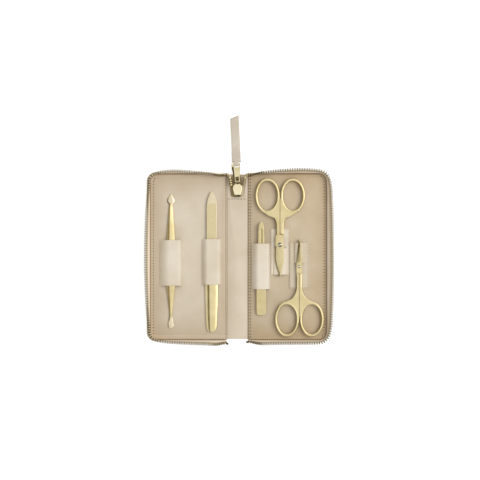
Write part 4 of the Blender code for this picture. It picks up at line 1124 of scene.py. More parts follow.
# the lug is punched lying down and then turned up on its edge
lug_outline = round_corner((LUG_Z, LUG_Y), LUG_RADIUS, -128, 128, 24)
lug_foot = SLIDER_TOP - SLIDER_SINK
lug_outline += [(lug_foot, post_y + LUG_FOOT_UP), (lug_foot, post_y - LUG_FOOT_DOWN)]
lug_hole = round_corner((LUG_Z, LUG_Y), LUG_HOLE, 0, -345, 23)
lug = punched("slider_lug", [lug_outline, lug_hole], -LUG_HALF, LUG_HALF, 0.00028)
reshape(lug, "VERT", all_of, lambda height, y, across: (across, y, height))
soften(lug, 38)
slider = joined("slider_case", upper, lower, post, *cheeks, lug)
slider.data.materials.clear()
slider.data.materials.append(slider_gold)
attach(slider, "slider")
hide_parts("slider_body")


# Pull. A flat gold tag hangs from the lug by its foot bar, with a window at the foot and a slot at
# the far end that holds the leather strap.
PULL_LENGTH = 0.0172
PULL_LEAN = math.radians(2.5)
PULL_END_Z = 0.00225
PULL_SLOPE = math.asin((LUG_Z - PULL_END_Z) / PULL_LENGTH)
PULL_THICK = 0.0012
PULL_SPLAY = 0.0008
PULL_SPLAY_Y = 0.0100
PULL_SIDE = 0.00235
PULL_WIDER = 0.0007
# where its sides start to widen, and over what length they do
PULL_WAIST_Y = 0.0044
PULL_WIDEN_RUN = 0.0100


def refinish(piece, material, wanted):
    """Gives some faces of a piece a second finish."""
    piece.data.materials.append(material)
    work_on(piece, "FACE", wanted)
    piece.active_material_index = 1
    bpy.ops.object.material_slot_assign()
    bpy.ops.object.mode_set(mode="OBJECT")


pull_gold = gold_steel("pull_gold", ("#D3C698", "#E0D4AC"), 0.20, 0.32, 0.00025, 0.004)
pull_side_painted_shade_gold = gold_steel("pull_side_painted_shade_gold", ("#38321A", "#524A29"), 0.34, 0.46, 0.00025, 0.004)
pull_right = [(0.0025, -0.0006), (0.0025, PULL_WAIST_Y), (0.0032, 0.0144), (0.0032, 0.0178)]
pull_outline = [(-0.0025, -0.0006), *pull_right, *((-x, y) for x, y in reversed(pull_right[1:]))]
window = [(-0.0016, 0.0006), (-0.0016, 0.0044), (0.0016, 0.0044), (0.0016, 0.0006)]
slot_hole = [(-0.0022, 0.0138), (-0.0022, 0.0166), (0.0022, 0.0166), (0.0022, 0.0138)]
pull = punched("pull_tag", [pull_outline, window, slot_hole], -PULL_THICK / 2, PULL_THICK / 2, 0.00024)


def under_left_side(corner):
    """Picks the underside's corners along the left side, which follows the tag as it widens."""
    widened = min(max((corner.co.y - PULL_WAIST_Y) / PULL_WIDEN_RUN, 0), 1)
    return corner.co.z < 0 and corner.co.x < -PULL_SIDE - PULL_WIDER * widened


# its underside splays out at the left, most towards the strap, and the punched sides get a dark gold as painted
# shade
work_on(pull, "VERT", under_left_side)
bpy.ops.transform.translate(value=(-PULL_SPLAY, 0, 0))
pick("VERT", lambda v: v.co.z < 0 and v.co.x < -PULL_SIDE and v.co.y > PULL_SPLAY_Y)
bpy.ops.transform.translate(value=(-PULL_SPLAY, 0, 0))
close_up()
pull.data.materials.append(pull_gold)
refinish(pull, pull_side_painted_shade_gold, lambda f: abs(f.normal.z) < 0.86)
leaning, sloping = Matrix.Rotation(PULL_LEAN, 4, "Z"), Matrix.Rotation(-PULL_SLOPE, 4, "X")
pull.data.transform(Matrix.Translation((0, LUG_Y, LUG_Z)) @ leaning @ sloping)
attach(pull, "pull")
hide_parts("pull_plate")


# Strap. A strip of pale leather is folded round the pull's end bar and glued to itself, with a
# narrow neck in the slot and a slanted free end.
STRAP_HALF = 0.0040
STRAP_NECK_HALF = 0.0019
STRAP_NECK_Y = 0.0016
STRAP_NECK_RUN = 0.0014
STRAP_LENGTH = 0.0452
STRAP_CUT = 0.0030
STRAP_CUT_Y = 0.0380
STRAP_FOLD = 0.0015
STRAP_FOLD_RUN = 0.0030
STRAP_THICK = 0.0008
STRAP_LIE = 0.0007
STRAP_SHELL = STRAP_THICK * 0.94
# a place between its two layers
STRAP_CORE = (0, 0.0004, -0.0002)
STRAP_EDGE_RADIUS = 0.00018
STRAP_ROWS = (
    STRAP_NECK_Y, 0.0020, 0.0024, 0.0028, 0.0032, 0.0060, 0.0120, 0.0200, 0.0300, STRAP_CUT_Y, STRAP_LENGTH,
)

strap_hide = smooth_cowhide("strap_cowhide", ("#C6B9A5", "#D2C7B6", "#DBD2C3"), 0.0009, 0.46, 0.58)


def strap_row(y, z):
    """One row across the strap: narrow at the bar, wide beyond the neck, slanted at the end."""
    half = STRAP_NECK_HALF + (STRAP_HALF - STRAP_NECK_HALF) * gentle((y - STRAP_NECK_Y) / STRAP_NECK_RUN)
    slant = max(0.0, (y - STRAP_CUT_Y) / (STRAP_LENGTH - STRAP_CUT_Y))
    return [(half * u, y - slant * STRAP_CUT * (1 - u) / 2, z) for u in (-1, -0.5, 0, 0.5, 1)]


# the lower layer runs back to the bar, the fold goes round it, and the upper layer comes down on the
# lower one and runs out again
rows = [strap_row(y, -STRAP_FOLD) for y in reversed(STRAP_ROWS)]
for degrees in range(-90, -271, -20):
    turn = math.radians(degrees)
    rows.append(strap_row(STRAP_FOLD * math.cos(turn), STRAP_FOLD * math.sin(turn)))
for y in STRAP_ROWS:
    down = 1 - min(max((y - STRAP_NECK_Y) / STRAP_FOLD_RUN, 0), 1)
    rows.append(strap_row(y, -STRAP_LIE + (STRAP_FOLD + STRAP_LIE) * down ** 2))
strap = ribbon("pull_strap_leather", rows)
facing_out(strap, STRAP_CORE)
thicken(strap, STRAP_SHELL)
round_over(strap, is_sharp, STRAP_EDGE_RADIUS, 2, 50)
pull_run = PULL_LENGTH * math.cos(PULL_SLOPE)
bar_place = (-pull_run * math.sin(PULL_LEAN), LUG_Y + pull_run * math.cos(PULL_LEAN), PULL_END_Z)
strap.data.transform(Matrix.Translation(bar_place) @ Matrix.Rotation(PULL_LEAN, 4, "Z"))
strap.data.materials.append(strap_hide)
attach(strap, "strap")
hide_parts("pull_strap")


# Sleeves. Three bands of the paler leather stand over the tools. Each is pressed to a low box,
# sewn down along two hems and open at both ends, so that a tool slides out.
TOOL_Z = 0.0037
SLEEVE_LENGTH = 0.0420
SLEEVE_THICK = 0.0008
SLEEVE_HEM = 0.0014
SLEEVE_FOOT = 0.0005
SLEEVE_MOUTH = 0.0016
SLEEVE_EDGE_RADIUS = 0.0002
# beside the foot of the arch the hem turns up: how far out, and how far up
HEM_TURN = ((0.0007, 0), (0.0002, 0.00012))
# the slope up to the ridge, the flat top and the drop: rows on each, how they curve, and the drop's width
SLOPE_STEPS = 9
SLOPE_CURVE = 2.4
FLAT_STEPS = 5
DROP_STEPS = 6
DROP_CURVE = 3
DROP_SHARE = 0.2
# along the sleeve it flares a little at its mouth and is slightly pinched towards its middle
MOUTH_SWELL, BODY_SWELL, WAIST_SWELL, MIDDLE_SWELL = 1.03, 1.0, 0.985, 0.98
HEM_TOP = 0.0003
SEAM_END = 0.0014
HEM_STITCH_SHARE = 0.62
FAR_BELOW = -0.05

sleeve_hide = smooth_cowhide("sleeve_cowhide", ("#DCCDB4", "#E4D8C3", "#EAE0CE"), 0.0009, 0.42, 0.55)


def sleeve(name, x, y, half, rise, ridge, body, node):
    """One sleeve, laid out from hem to hem: it slopes up to a ridge, runs flat and drops again."""
    inner = half - SLEEVE_HEM
    arch = rise - SLEEVE_FOOT
    left, right = inner * (1 + ridge), inner * DROP_SHARE
    flat = inner - right - ridge * inner
    profile = [(-half, 0)] + [(-inner - out, up) for out, up in HEM_TURN] + [(-inner, SLEEVE_FOOT)]
    for i in range(1, SLOPE_STEPS + 1):
        share = i / SLOPE_STEPS
        profile.append((-inner + left * i / SLOPE_STEPS, SLEEVE_FOOT + arch * (1 - (1 - share) ** SLOPE_CURVE)))
    profile += [(ridge * inner + flat * i / FLAT_STEPS, rise) for i in range(1, FLAT_STEPS + 1)]
    for i in range(DROP_STEPS - 1, -1, -1):
        share = i / DROP_STEPS
        profile.append((inner - right * i / DROP_STEPS, SLEEVE_FOOT + arch * (1 - (1 - share) ** DROP_CURVE)))
    profile += [(inner + out, up) for out, up in reversed(HEM_TURN)] + [(half, 0)]
    ends = SLEEVE_LENGTH / 2
    to_middle = (
        (-ends, MOUTH_SWELL), (-ends + SLEEVE_MOUTH, BODY_SWELL), (-ends / 2, WAIST_SWELL), (0, MIDDLE_SWELL),
    )
    lengths = [*to_middle, *((-at, swell) for at, swell in reversed(to_middle[:-1]))]
    rows = [[(x + px, y + at, TOOL_Z + pz * swell) for at, swell in lengths] for px, pz in profile]
    piece = ribbon(name, rows)
    facing_out(piece, (x, y, FAR_BELOW))
    thicken(piece, SLEEVE_THICK, 1)

    def above_hem(edge):
        return is_sharp(edge) and edge.is_convex and max(v.co.z for v in edge.verts) > TOOL_Z + HEM_TOP

    round_over(piece, above_hem, SLEEVE_EDGE_RADIUS, 2, 50)
    piece.data.materials.append(sleeve_hide)
    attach(piece, body)
    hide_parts(node)
    seam, reach, z = half - SLEEVE_HEM / 2, ends - SEAM_END, TOOL_Z + SLEEVE_THICK + THREAD_LIFT
    seams = [[(x + s * seam, y - reach, z), (x + s * seam, y + reach, z)] for s in (-1, 1)]
    sew(name + "_stitches", seams, body, HEM_STITCH_SHARE)


sleeve("pusher_sleeve_leather", -0.0610, -0.0056, 0.0099, 0.0041, -0.15, "left_half", "pusher_sleeve")
sleeve("file_sleeve_leather", -0.0236, -0.0047, 0.00865, 0.0036, -0.50, "left_half", "file_sleeve")
sleeve("tweezers_sleeve_leather", 0.0218, -0.0088, 0.0084, 0.0058, -0.30, "right_half", "tweezers_sleeve")


# Scissors loops. A flat patch of the same leather with a slit across it: the rear blade goes down
# through the slit and under the arched part, and the front blade lies on top.
LOOP_THICK = 0.0006
LOOP_RISE = 0.0022
LOOP_HEM = 0.0014
LOOP_HALF_LENGTH = 0.0210
LOOP_STEP = 0.0015
LOOP_SEAM_TOP = 0.0010
SLIT_WIDTH = 0.0005
# rows across the patch on its arched part, as distances from the slit
ARCH_ROWS = (0.0200, 0.0060)
ARCH_STEPS = 12
ARCH_CROWDING = 0.6
ARCH_CURVE = 0.42
NAIL_PLACE = (0.0391, 0.0110)
CUTICLE_PLACE = (0.05676, -0.0088)

# the cuticle scissors' patch is given deeper tones than the nail scissors' one
patch_hide = smooth_cowhide("patch_cowhide", ("#CDBDA1", "#D5C7AE", "#DBCFBA"), 0.0009, 0.42, 0.55)


def loop(name, place, half, arch, middle, slit, facing, node, hide):
    """One patch, laid out along the blade. facing is -1 where the rings point down the case."""
    x, y = place
    across = [-half, -half + LOOP_HEM]
    for i in range(ARCH_STEPS + 1):
        turned = math.cos(math.pi * (1 - i / ARCH_STEPS))
        across.append(arch * math.copysign(abs(turned) ** ARCH_CROWDING, turned))
    across += [half - LOOP_HEM, half]
    bottom, top = middle - LOOP_HALF_LENGTH, middle + LOOP_HALF_LENGTH
    lengths = {bottom, bottom + LOOP_STEP, slit - SLIT_WIDTH, slit, slit + LOOP_STEP, top - LOOP_STEP, top}
    lengths |= {slit - before for before in ARCH_ROWS}
    rows = []
    for at in sorted(at for at in lengths if bottom <= at <= top):
        row = []
        for px in across:
            share = max(0.0, 1 - (abs(px) / arch) ** (2 / ARCH_CROWDING))
            raised = LOOP_RISE * share ** ARCH_CURVE if at < slit else 0.0
            row.append((x + facing * px, y + facing * at, TOOL_Z + raised))
        rows.append(row)
    piece = ribbon(name, rows)

    def in_slit(face):
        at = face.calc_center_median()
        return slit - SLIT_WIDTH < facing * (at.y - y) < slit and abs(at.x - x) < arch

    work_on(piece, "FACE", in_slit)
    bpy.ops.mesh.delete(type="FACE")
    bpy.ops.object.mode_set(mode="OBJECT")
    facing_out(piece, (x, y, FAR_BELOW))
    thicken(piece, LOOP_THICK, 1)
    close_up()
    soften(piece, 50)
    piece.data.materials.append(hide)
    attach(piece, "right_half")
    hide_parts(node)
    seam, z = half - LOOP_HEM / 2, TOOL_Z + LOOP_THICK + THREAD_LIFT
    low, high = y + facing * (bottom + SEAM_END), y + facing * (top - LOOP_SEAM_TOP)
    seams = [[(x + s * seam, low, z), (x + s * seam, high, z)] for s in (-1, 1)]
    seams.append([(x - seam, high, z), (x + seam, high, z)])
    sew(name + "_stitches", seams, "right_half", HEM_STITCH_SHARE)


loop("nail_scissors_patch", NAIL_PLACE, 0.0084, 0.0056, -0.0064, -0.0026, 1, "nail_scissors_loop", sleeve_hide)
loop(
    "cuticle_scissors_patch", CUTICLE_PLACE, 0.00876, 0.0041, -0.0006, -0.0023, -1,
    "cuticle_scissors_loop", patch_hide,
)


# Pusher. One bar of steel drawn out to a flat spear at the top and a small spoon at the foot, with
# a long ridge between, brushed along its length and coated in gold.
PUSHER_X = -0.0613
PUSHER_Y = -0.0042
PUSHER_LENGTH = 0.1237
PUSHER_HALF = 0.0042
PUSHER_HEIGHT = 0.0035
SPOON_END = -0.0515
SPEAR_START = 0.0535
# along the length, across the half width, up the height and how ridged the section is
PUSHER_SHARES = (
    (0.000, 0.05, 0.12, 0.0), (0.012, 0.30, 0.16, 0.0), (0.030, 0.62, 0.19, 0.0), (0.050, 0.77, 0.21, 0.0),
    (0.062, 0.70, 0.25, 0.2), (0.076, 0.42, 0.38, 0.8), (0.100, 0.46, 0.52, 1.0), (0.160, 0.58, 0.70, 1.0),
    (0.260, 0.80, 0.88, 1.0), (0.340, 0.95, 0.97, 1.0), (0.500, 1.00, 1.00, 1.0), (0.680, 0.98, 0.97, 1.0),
    (0.740, 0.78, 0.84, 1.0), (0.803, 0.56, 0.72, 1.0), (0.885, 0.33, 0.50, 1.0), (0.905, 0.34, 0.38, 0.7),
    (0.925, 0.42, 0.26, 0.2), (0.955, 0.58, 0.22, 0.0), (0.978, 0.62, 0.20, 0.0), (0.993, 0.46, 0.18, 0.0),
    (1.000, 0.22, 0.15, 0.0),
)
# the section with its ridge left of the middle, and the thin leaf that it flattens to at both ends
RIDGED = (
    (-0.86, 0.0), (0.86, 0.0), (0.97, 0.14), (1.0, 0.60), (0.93, 0.84), (0.50, 0.92), (-0.04, 0.97), (-0.26, 1.0),
    (-0.40, 0.88), (-0.64, 0.46), (-0.95, 0.40), (-1.0, 0.16),
)
LEAF = (
    (-0.80, 0.0), (0.80, 0.0), (0.95, 0.20), (1.0, 0.50), (0.90, 0.80), (0.62, 0.97), (0.25, 1.0), (-0.25, 1.0),
    (-0.62, 0.97), (-0.90, 0.80), (-1.0, 0.50), (-0.95, 0.20),
)

tool_gold = gold_steel("tool_gold", ("#C4B485", "#D1C297"), 0.26, 0.38, 0.00018, 0.012)
ground_and_highlight_gold = gold_steel("ground_and_highlight_gold", ("#D2C3A0", "#E0D3B6"), 0.22, 0.32, 0.0003, 0.0004)
# the file's handle takes a paler copy of the tools' gold, as painted light
painted_light_file_gold = gold_steel("painted_light_file_gold", ("#D2C291", "#DFD0A4"), 0.26, 0.38, 0.00018, 0.012)


def eased(points, steps):
    """A smooth line through a few points, as a draughtsman's spline runs through them."""
    last = len(points) - 1
    found = []
    for i in range(last):
        around = [points[min(max(j, 0), last)] for j in (i - 1, i, i + 1, i + 2)]
        for n in range(steps):
            t = n / steps
            place = []
            for p, q, r, s in zip(*around):
                bend = (2 * p - 5 * q + 4 * r - s) * t * t + (3 * q - p - 3 * r + s) * t ** 3
                place.append(0.5 * (2 * q + (r - p) * t + bend))
            found.append(tuple(place))
    return found + [tuple(points[-1])]


def drawn_out(name, sections):
    """Draws a bar out from its first section: the end is extruded and dressed to the next section."""
    bpy.ops.object.select_all(action="DESELECT")
    bpy.ops.mesh.primitive_circle_add(vertices=len(sections[0]), radius=1, fill_type="NGON", location=(0, 0, 0))
    piece = bpy.context.object
    piece.name = name
    work_on(piece, "FACE", all_of)
    bm = bmesh.from_edit_mesh(piece.data)
    for corner, place in zip(bm.verts, sections[0]):
        corner.co = place
    bmesh.update_edit_mesh(piece.data)
    for section, following in zip(sections, sections[1:]):
        step = Vector(following[0]) - Vector(section[0])
        bpy.ops.mesh.extrude_region_move(TRANSFORM_OT_translate={"value": step})
        bm = bmesh.from_edit_mesh(piece.data)
        picked = [v for v in bm.verts if v.select]
        moves = []
        for before, place in zip(section, following):
            moved = Vector(before) + step
            moves.append((min(picked, key=lambda v: (v.co - moved).length), Vector(place)))
        for corner, place in moves:
            corner.co = place
        bmesh.update_edit_mesh(piece.data)
    close_up()
    soften(piece, 30, True)
    return piece


sections = []
for at, width, height, ridged in eased(PUSHER_SHARES, 4):
    half, high = PUSHER_HALF * max(width, 0.04), PUSHER_HEIGHT * max(height, 0.05)
    flat = 1 - min(max(ridged, 0), 1)
    y = PUSHER_Y + PUSHER_LENGTH * (0.5 - at)
    section = []
    for (u, v), (leaf_u, leaf_v) in zip(RIDGED, LEAF):
        section.append((PUSHER_X + half * (u + (leaf_u - u) * flat), y, TOOL_Z + high * (v + (leaf_v - v) * flat)))
    sections.append(section)
pusher = drawn_out("pusher_bar", sections)
pusher.data.materials.append(tool_gold)
# the spear and the spoon are ground bright, and their paler gold is also a painted highlight
refinish(pusher, ground_and_highlight_gold, lambda f: not SPOON_END < f.calc_center_median().y - PUSHER_Y < SPEAR_START)
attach(pusher, "pusher")
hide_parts("pusher")


# Nail file. A thin blade is set in a rounded handle. Its middle carries a fine grit coat, and the
# margins and the point are bare.
FILE_X = -0.0236
FILE_FOOT_Y = -0.0690
FILE_HANDLE_LENGTH = 0.0636
FILE_HANDLE_HALF = 0.00595
FILE_HANDLE_HEIGHT = 0.0030
FILE_HANDLE_Z = TOOL_Z + 0.0015
FILE_BLADE_HALF = 0.00475
FILE_BLADE_START = -0.0051
FILE_BLADE_END = 0.0599
FILE_POINT = 0.0130
FILE_BLADE_Z = TOOL_Z + 0.0010
FILE_BLADE_THICK = 0.0010
COAT_MARGIN = 0.0005
COAT_ENDS = (-0.0045, 0.0488)
COAT_SINK = 0.0002
COAT_RISE = 0.00008
HANDLE_SHARES = (
    (0.000, 0.95), (0.030, 0.98), (0.320, 1.00), (0.660, 0.92), (0.895, 0.80), (0.955, 0.72), (0.985, 0.56),
    (1.000, 0.34),
)
# the section has a low step at its left, and the rest is gently crowned
OVAL = (
    (-0.80, -0.45), (-0.4, -0.5), (0.4, -0.5), (0.80, -0.45), (0.95, -0.28), (1.0, -0.08), (0.98, 0.12),
    (0.94, 0.32), (0.84, 0.43), (0.50, 0.485), (0.10, 0.495), (-0.26, 0.5), (-0.40, 0.48), (-0.48, 0.40),
    (-0.55, 0.20), (-0.61, 0.05), (-0.72, -0.01), (-1.0, -0.04),
)
POINT_SHARES = ((1.0, 0.0), (0.97, 0.16), (0.90, 0.28), (0.68, 0.58), (0.38, 0.84), (0.14, 0.975), (0.0, 1.0))


def file_grit(name):
    """Fused abrasive grit under gold. It gives a dull, sandy field with tiny sparks."""
    material, tree, shader = blank(name)
    place = put(tree, "TexCoord").outputs["Object"]
    grit = put(tree, "TexVoronoi", {"Vector": place, "Scale": 1 / 0.00028}).outputs["Distance"]
    tone = put(tree, "ValToRGB", {"Fac": grit}, stops=((0.1, "#E4D7AF"), (0.8, "#C1B087")))
    bump = put(tree, "Bump", {"Strength": 0.6, "Distance": 0.00006, "Height": grit}, invert=True)
    feed(shader, {"Base Color": tone.outputs["Color"], "Normal": bump.outputs["Normal"]})
    feed(shader, {"Metallic": 0.75, "Roughness": 0.55})
    return material


sections = []
for at, share in eased(HANDLE_SHARES, 4):
    half, high = FILE_HANDLE_HALF * max(share, 0.1), FILE_HANDLE_HEIGHT * max(share, 0.1)
    y = FILE_FOOT_Y + FILE_HANDLE_LENGTH * (1 - at)
    sections.append([(FILE_X + half * u, y, FILE_HANDLE_Z + high * v) for u, v in OVAL])
handle = drawn_out("file_grip", sections)
handle.data.materials.append(painted_light_file_gold)
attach(handle, "file")
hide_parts("file_handle")

point = [(FILE_BLADE_HALF * u, FILE_BLADE_END - FILE_POINT * (1 - v)) for u, v in eased(POINT_SHARES, 4)]
blade_outline = [(FILE_X - FILE_BLADE_HALF, FILE_BLADE_START), (FILE_X + FILE_BLADE_HALF, FILE_BLADE_START)]
blade_outline += [(FILE_X + x, y) for x, y in point] + [(FILE_X - x, y) for x, y in reversed(point[:-1])]
blade_top = FILE_BLADE_Z + FILE_BLADE_THICK
blade = punched("file_steel", [blade_outline], FILE_BLADE_Z, blade_top, 0.00022)
blade.data.materials.append(ground_and_highlight_gold)
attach(blade, "file")
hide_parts("file_blade")
coat_half = FILE_BLADE_HALF - COAT_MARGIN
coat_outline = four_corners(FILE_X - coat_half, FILE_X + coat_half, *COAT_ENDS)
coat = punched("file_grit_coat", [coat_outline], blade_top - COAT_SINK, blade_top + COAT_RISE, 0.00003, 1)
coat.data.materials.append(file_grit("file_grit"))
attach(coat, "file")


# Tweezers. Two sprung arms of gold steel are joined at the wide end, with chamfered corners, rounded
# narrow tips and a long slit in the front arm.
TWEEZERS_X = 0.0218
TWEEZERS_FOOT_Y = -0.0538
TWEEZERS_LENGTH = 0.0858
TWEEZERS_HALF = 0.0044
TWEEZERS_THICK = 0.0010
TWEEZERS_EDGE = 0.0003
TWEEZERS_SPRING = math.radians(1.9)
TWEEZERS_BEND_Y = 0.0040
TWEEZERS_BEND_Z = 0.00115
SLIT_X = 0.0004
SLIT_RADIUS = 0.0005
SLIT_FROM_TIP = 0.0104
SLIT_LENGTH = 0.0170
TWEEZERS_FOOT = ((0.66, 0.000), (1.00, 0.024))
TWEEZERS_SHARES = (
    (1.00, 0.320), (0.98, 0.420), (0.86, 0.600), (0.70, 0.750), (0.63, 0.880), (0.56, 0.945), (0.40, 0.984),
    (0.12, 1.000),
)

right_edge = [(TWEEZERS_HALF * w, TWEEZERS_LENGTH * a) for w, a in (*TWEEZERS_FOOT, *eased(TWEEZERS_SHARES, 5))]
arm_outline = right_edge + [(-x, y) for x, y in reversed(right_edge)]
rear_outline = [(TWEEZERS_X + x, TWEEZERS_FOOT_Y + y) for x, y in arm_outline]
rear_arm = punched("tweezers_back_arm", [rear_outline], TOOL_Z, TOOL_Z + TWEEZERS_THICK, TWEEZERS_EDGE)
rear_arm.data.materials.append(tool_gold)
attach(rear_arm, "tweezers")
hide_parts("tweezers_rear_arm")
# the front arm is punched lying down, with y from its bend, and then sprung up from there
front_outline = [(x, y - TWEEZERS_BEND_Y) for x, y in arm_outline]
slit_top = TWEEZERS_LENGTH - SLIT_FROM_TIP
slit = round_corner((SLIT_X, slit_top - SLIT_RADIUS), SLIT_RADIUS, 180, 0, 6)
slit += round_corner((SLIT_X, slit_top - SLIT_LENGTH + SLIT_RADIUS), SLIT_RADIUS, 0, -180, 6)
front_arm = punched(
    "tweezers_top_arm", [front_outline, slit], TWEEZERS_EDGE, TWEEZERS_EDGE + TWEEZERS_THICK, TWEEZERS_EDGE
)
bend_place = (TWEEZERS_X, TWEEZERS_FOOT_Y + TWEEZERS_BEND_Y, TOOL_Z + TWEEZERS_BEND_Z)
front_arm.data.transform(Matrix.Translation(bend_place) @ Matrix.Rotation(TWEEZERS_SPRING, 4, "X"))
front_arm.data.materials.append(tool_gold)
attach(front_arm, "tweezers_front")
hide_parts("tweezers_front_arm")


# Scissors. Each half is forged in one: an egg-shaped ring with a rounded band, a web, a shank and a
# blade. The two are held by a slotted screw. The nail scissors point down the case, the finer
# cuticle scissors up it.

# lengths are in metres from the screw. web and blade are shares: of the ring's outer edge and its
# middle's distance, and of the blade's half width and length. leave is where the web leaves the ring, in
# degrees. ground is which flank of the blade is ground, by how much and how far from the screw
NAIL = {
    "ring_inner": (0.0092, 0.0139), "band": 0.0023, "ring_v": 0.0451, "shank": 0.0035, "step": 0.0102,
    "half": 0.0050, "length": 0.0295, "screw": 0.0021, "leave": 235, "ground": (-1, 0.26, 0.001),
    "web": ((0.88, 0.585), (0.66, 0.566), (0.48, 0.540), (0.385, 0.500)),
    "blade": (
        (-0.84, 0.00), (-0.94, -0.12), (-1.00, -0.30), (-0.96, -0.46), (-0.74, -0.65), (-0.38, -0.86),
        (-0.06, -1.00), (0.10, -0.94), (0.32, -0.80), (0.54, -0.64), (0.70, -0.46), (0.74, -0.30), (0.70, -0.12),
        (0.68, 0.00),
    ),
}
CUTICLE = {
    "ring_inner": (0.0091, 0.0139), "band": 0.0022, "ring_v": 0.0487, "shank": 0.0026, "step": 0.0074,
    "half": 0.0030, "length": 0.0244, "screw": 0.0015, "leave": 226, "ground": (1, 1.15, 0.003),
    "web": ((1.38, 0.690), (0.90, 0.645), (0.58, 0.604), (0.37, 0.520), (0.26, 0.450)),
    "blade": (
        (-0.90, 0.00), (-0.92, -0.25), (-0.78, -0.55), (-0.52, -0.80), (-0.12, -1.00), (0.10, -0.98),
        (0.40, -0.72), (0.66, -0.45), (0.86, -0.20), (0.90, 0.00),
    ),
}
REAR_Z = 0.0046
RING_TOP = REAR_Z + 0.0030
RING_TRIM = 0.0004
FRONT_Z = 0.0068
BLADE_THICK = 0.0010
SCISSORS_SPLIT = 0.00015
SHANK_SPLIT_Z = REAR_Z + 0.0015
SHANK_FLANK = 0.0014
SHANK_ROUND = 0.0003
WEB_EDGE = 0.00045
WEB_SINK = 0.00002
HEAD_SLOPE = 0.33
HEAD_GAP = 0.0009
ROOT_DOWN = 0.0030
ROOT_UP = 0.0010
BOSS_MARGIN = 0.0012
BOSS_SPAN = (-0.0009, 0.0003)
RING_ROUND = 0.42
BLADE_EDGE = 0.00028
# the root's thickness on the rear half and on the front one
ROOT_THICK = (0.00098, 0.00012)
REAR_FLANK_SHARE = 0.70
SHANK_REACH = 0.56
GROOVE_SHARE = 0.25
GROUND_THICK_SHARE = 0.25


def oval(centre, radii, start, end, steps):
    """Points round part of an oval, in degrees."""
    turns = [math.radians(start + (end - start) * i / steps) for i in range(steps + 1)]
    return [(centre[0] + radii[0] * math.cos(a), centre[1] + radii[1] * math.sin(a)) for a in turns]


def scissors_half(name, scissors, front, place, facing, body, node):
    """One half, placed and turned. The front half has its ring at -u and its blade on top."""
    sign = 1 if front else -1

    def facing_ring(points):
        """An outline drawn for the front half, mirrored for the rear one."""
        return points if front else [(-u, v) for u, v in reversed(points)]

    inner, band = scissors["ring_inner"], scissors["band"]
    trimmed = (inner[0] - RING_TRIM, inner[1] - RING_TRIM)
    outer = (inner[0] + band, inner[1] + band)
    middle = (inner[0] + band / 2, inner[1] + band / 2)
    far = outer[0] + SCISSORS_SPLIT
    ring_v, shank, step, leave = scissors["ring_v"], scissors["shank"], scissors["step"], scissors["leave"]
    eye = (-far, ring_v)
    ring_outlines = [facing_ring(oval(eye, outer, 0, 355, 71)), facing_ring(oval(eye, trimmed, 355, 0, 71))]
    ring = punched(name, ring_outlines, REAR_Z, RING_TOP, band * RING_ROUND, 5)
    web = [(-SCISSORS_SPLIT, step - 0.0001), (-SCISSORS_SPLIT, ring_v - outer[1] * 0.12)]
    web += oval(eye, middle, -9, leave - 360, 30)
    flank = oval(eye, outer, leave, leave, 1)[:1]
    flank += [(-far * u, ring_v * v) for u, v in scissors["web"]]
    flank.append((-shank, ring_v * scissors["web"][-1][1] - shank))
    web += eased(flank, 6) + [(-shank, step - shank * HEAD_SLOPE)]
    flat = punched(name + "_web", [facing_ring(web)], REAR_Z, RING_TOP - WEB_SINK, WEB_EDGE, 4)

    def narrowed(u, v, z):
        """Narrows the groove between the two shanks and rounds their outer flanks wider."""
        if abs(u) < SCISSORS_SPLIT + WEB_EDGE * 1.1 and z > SHANK_SPLIT_Z:
            u = math.copysign(SCISSORS_SPLIT + (abs(u) - SCISSORS_SPLIT) * GROOVE_SHARE, u)
        elif abs(u) > SHANK_FLANK and v < ring_v * SHANK_REACH:
            u = math.copysign(abs(u) - SHANK_ROUND * max(0.0, 1 - (RING_TOP - z) / WEB_EDGE), u)
        return u, v, z

    reshape(flat, "VERT", all_of, narrowed)
    soften(flat, 38, True)
    low = FRONT_Z if front else REAR_Z
    edge = [(scissors["half"] * u, scissors["length"] * v) for u, v in eased(scissors["blade"], 5)]
    head = step - HEAD_GAP
    left, right = edge[0][0], edge[-1][0]
    points = edge + [(right, head - right * HEAD_SLOPE), (0, head), (left, head + left * HEAD_SLOPE)]
    if not front:
        # the rear blade's outer flank hides behind the front one
        points = [(-u * (REAR_FLANK_SHARE if u < 0 else 1.0), v) for u, v in reversed(points)]
    blade = punched(name + "_blade", [points], low, low + BLADE_THICK, BLADE_EDGE, 3)
    ground_side, ground, ground_from = scissors["ground"]

    def ground_down(u, v, z):
        """Draws the top of the ground flank in and thins the rest of it to an edge."""
        if z > low + BLADE_THICK * 0.99:
            return u * (1 - ground), v, z
        return u, v, low + (z - low) * GROUND_THICK_SHARE

    reshape(blade, "VERT", lambda v: sign * ground_side * v.co.x > 0 and v.co.y < -ground_from, ground_down)
    soften(blade, 18, True)
    parts = [ring, flat, blade]
    root = four_corners(*sorted((-sign * SCISSORS_SPLIT, -sign * shank)), step - ROOT_DOWN, step + ROOT_UP)
    parts.append(punched(name + "_root", [root], low, low + ROOT_THICK[front], 0.0001, 1))
    if front:
        boss = round_corner((0, 0), scissors["screw"] * 0.52 + BOSS_MARGIN, 0, 350, 35)
        parts.append(punched(name + "_boss", [boss], *(FRONT_Z + z for z in BOSS_SPAN), 0.0001, 1))
    half = joined(name, *parts)
    half.data.transform(Matrix.Translation((*place, 0)) @ Matrix.Rotation(0 if facing > 0 else math.pi, 4, "Z"))
    half.data.materials.clear()
    half.data.materials.append(tool_gold)
    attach(half, body)
    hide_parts(node)


